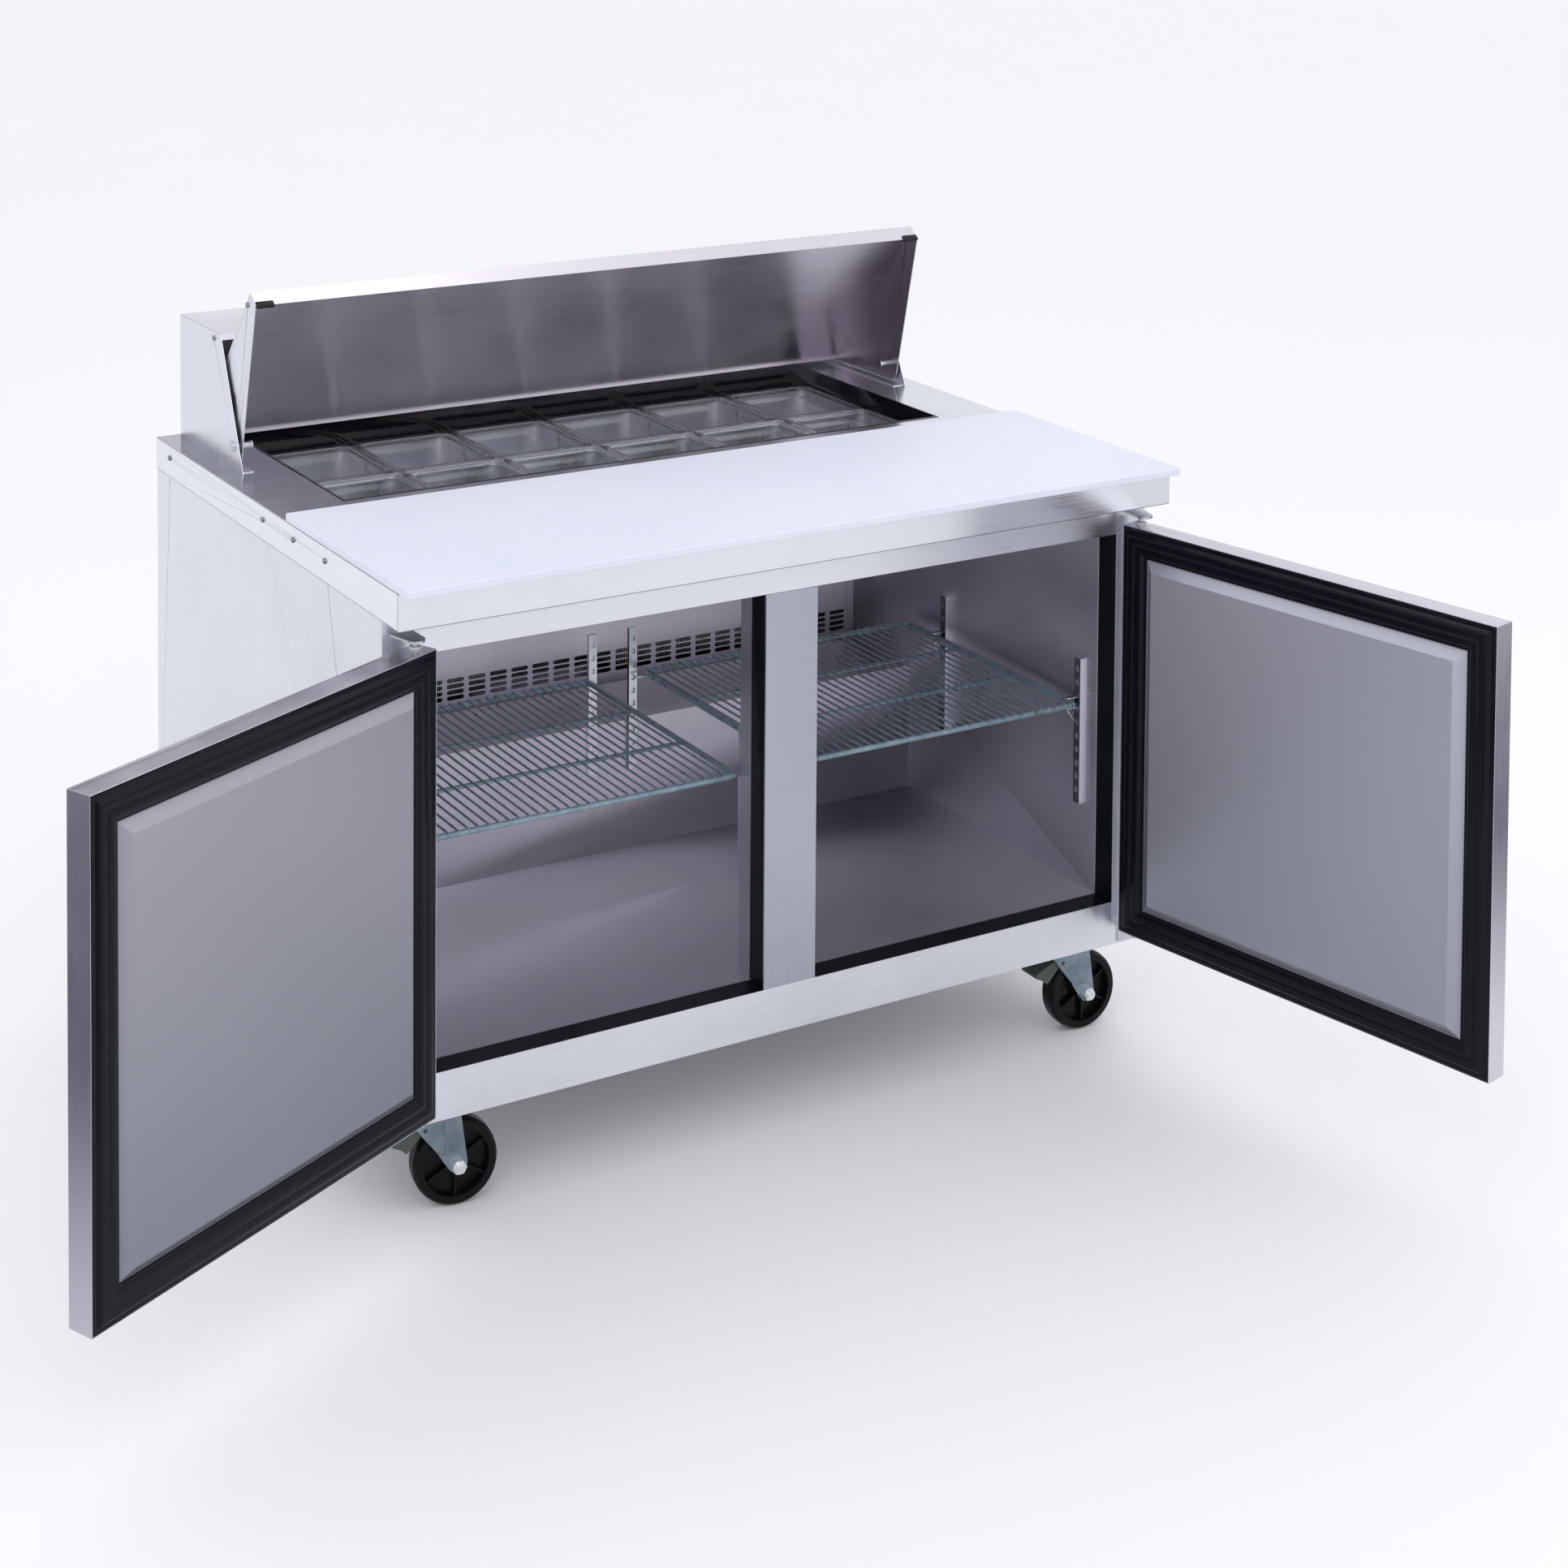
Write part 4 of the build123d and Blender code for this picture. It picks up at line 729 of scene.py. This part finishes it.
def wall_clip(bm, side, y, seat):
    """Bent wire hooked through the side pilaster: a seat under the shelf, a loop over it and a tail."""
    wall, nose, tip = side * CLIP_WALL, side * CLIP_NOSE, side * CLIP_TIP
    low_y, high_y = y - CLIP_HALF, y + CLIP_HALF
    plan = [(wall, low_y), (nose, low_y), (tip, y), (nose, high_y), (wall, high_y)]
    for z in (seat, seat + CLIP_LOOP):
        tube(bm, [(px, py, z) for px, py in plan], CLIP_WIRE, CLIP_SIDES)
    tail = [(wall - side * reach * MM, y, seat - down * MM) for reach, down in CLIP_TAIL]
    tube(bm, tail, CLIP_WIRE, CLIP_SIDES)


def post_clip(bm, side, post_y, seat_y, seat):
    """Bent wire from a centre post to under the shelf's inner corner."""
    post, under = (side * reach for reach in POST_REACH)
    tube(bm, [(post, post_y, seat), (post, seat_y, seat), (under, seat_y, seat)], CLIP_WIRE, CLIP_SIDES)


def shelf_clips():
    """The wire clips on the walls and the centre posts, in one piece."""
    _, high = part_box("shelf_clips")
    seat = high.z - CLIP_SEAT
    bm = bmesh.new()
    for side in (-1, 1):
        for y in CLIP_ROWS:
            wall_clip(bm, side, y, seat)
        for post_y, seat_y in POST_CLIPS:
            post_clip(bm, side, post_y, seat_y, seat)
    return add_piece("wire_clips", bm, BY_SLOT["fasteners"], "cabinet", "fasteners", "shelf_clips")


# ---------------------------------------------------------------- stage

FLOOR_SIZE = 30.0
MIRROR_FADE = (1.2, 1.9)             # X at which the floor's reflection fades on either side
BRIGHT_SIDE = 0.85                   # how brightly the floor near the table shows in reflections


def reflected_floor(tree):
    """How dark the floor is in reflections: it darkens to the front and to the sides of the studio."""
    place = position(tree)
    behind = remap(tree, place["Y"], 0.0, 1.0, (0.3, 1.6))
    left = remap(tree, math_node(tree, "MULTIPLY", place["X"], -1), BRIGHT_SIDE, 0.0, MIRROR_FADE)
    right = remap(tree, place["X"], BRIGHT_SIDE, 0.0, MIRROR_FADE)
    in_front = remap(tree, place["Y"], BRIGHT_SIDE, 0.0, (-2.0, -1.4))
    beside = math_node(tree, "MINIMUM", left, math_node(tree, "MAXIMUM", right, in_front))
    lit = math_node(tree, "MAXIMUM", behind, beside)
    rays = tree.nodes.new("ShaderNodeLightPath")
    return math_node(tree, "MULTIPLY", math_node(tree, "SUBTRACT", 1, lit), rays.outputs["Is Glossy Ray"])


def floor():
    """A white floor that runs out to the horizon."""
    z = cad_box[0].z
    bm = bmesh.new()
    corners = ((-1, -1), (1, -1), (1, 1), (-1, 1))
    bm.faces.new(ring(bm, [(x * FLOOR_SIZE, y * FLOOR_SIZE, z) for x, y in corners]))
    mesh = bpy.data.meshes.new("floor")
    bm.to_mesh(mesh)
    bm.free()
    mat, tree, bsdf = shader("floor", (0.93, 0.93, 0.93), 0.0, 0.7)
    tree.links.new(remap(tree, noise(tree, (2, 2, 2)), 0.65, 0.75), bsdf.inputs["Roughness"])
    color = blend_colors(tree, reflected_floor(tree), (0.96, 0.96, 0.96), (0.13, 0.12, 0.15))
    tree.links.new(color, bsdf.inputs["Base Color"])
    mesh.materials.append(mat)
    obj = bpy.data.objects.new("floor", mesh)
    bpy.context.scene.collection.objects.link(obj)


def area_light(name, place, target, size, power):
    """A rectangular soft box that faces its target."""
    data = bpy.data.lights.new(name, "AREA")
    data.shape = "RECTANGLE"
    data.size, data.size_y = size
    data.energy = power
    obj = bpy.data.objects.new(name, data)
    bpy.context.scene.collection.objects.link(obj)
    obj.location = place
    obj.rotation_euler = (Vector(target) - Vector(place)).to_track_quat("-Z", "Y").to_euler()


def studio():
    """Soft light from the world and three soft boxes."""
    world = bpy.data.worlds.new("studio")
    bpy.context.scene.world = world
    world.use_nodes = True
    tree = world.node_tree
    background = tree.nodes["Background"]
    ahead = position(tree, "Generated")
    # White all round, with a dark band above the backdrop that only reflections see.
    tilted = math_node(tree, "SUBTRACT", ahead["Z"], math_node(tree, "MULTIPLY", ahead["X"], 0.35))
    above = remap(tree, tilted, 0, 1, (0.085, 0.18))
    below_top = remap(tree, ahead["Z"], 1, 0, (0.36, 0.46))
    behind = remap(tree, ahead["Y"], 0, 1, (0.2, 0.5))
    ceiling = math_node(tree, "MULTIPLY", math_node(tree, "MULTIPLY", above, below_top), behind)
    rays = tree.nodes.new("ShaderNodeLightPath")
    mirrored = math_node(tree, "MULTIPLY", ceiling, rays.outputs["Is Glossy Ray"])
    color = blend_colors(tree, mirrored, (0.95, 0.96, 1.0), (0.14, 0.13, 0.16))
    tree.links.new(color, background.inputs["Color"])
    background.inputs["Strength"].default_value = 1.0
    area_light("key", (-2.6, -2.8, 2.6), (0, 0.1, -0.3), (2.6, 2.0), 20)
    area_light("fill", (2.8, -2.6, 1.8), (0, 0.1, -0.4), (2.0, 2.0), 8)
    area_light("top", (0.3, 0.2, 3.0), (0, 0.1, 0), (2.4, 1.6), 10)


# The camera stands to the left of the table, almost level, and frames it with a shifted lens.
CAMERA_PLACE = (-2.02565, -3.16921, 1.04587)
CAMERA_YAW = 28.25
CAMERA_PITCH = -2.63
CAMERA_ROLL = 0.19
LENS = 62.92
SHIFT = (0.1530, -0.5899)


def camera():
    """The lens shift belongs to this place only: any other view of the camera looks straight ahead."""
    data = bpy.data.cameras.new("camera")
    data.sensor_width = 36
    data.lens = LENS
    data.clip_end = 100
    obj = bpy.data.objects.new("camera", data)
    bpy.context.scene.collection.objects.link(obj)
    obj.location = CAMERA_PLACE
    turn = Matrix.Rotation(math.radians(-CAMERA_YAW), 4, "Z")
    tilt = Matrix.Rotation(math.radians(90 + CAMERA_PITCH), 4, "X")
    roll = Matrix.Rotation(math.radians(CAMERA_ROLL), 4, "Z")
    obj.rotation_euler = (turn @ tilt @ roll).to_euler()
    for path, shift in zip(("shift_x", "shift_y"), SHIFT):
        driver = data.driver_add(path).driver
        driver.type = "SCRIPTED"
        for name, axis in (("x", 0), ("y", 1)):
            variable = driver.variables.new()
            variable.name = name
            variable.targets[0].id = obj
            variable.targets[0].data_path = f"location[{axis}]"
        here = " + ".join(f"abs({n} - ({v}))" for n, v in zip("xy", CAMERA_PLACE))
        driver.expression = f"{shift} if {here} < 0.001 else 0"
    bpy.context.scene.camera = obj


# ---------------------------------------------------------------- build

dress_cad_nodes()
for door in ("left", "right"):
    door_gasket(door)
    wire_shelf(door)
lid_bumpers()
shelf_clips()
for pan_row in ("front", "rear"):
    food_pans(pan_row, f"pans_{pan_row}_row")
floor()
studio()
camera()
bpy.context.scene.view_settings.view_transform = "Standard"

bpy.context.view_layer.update()
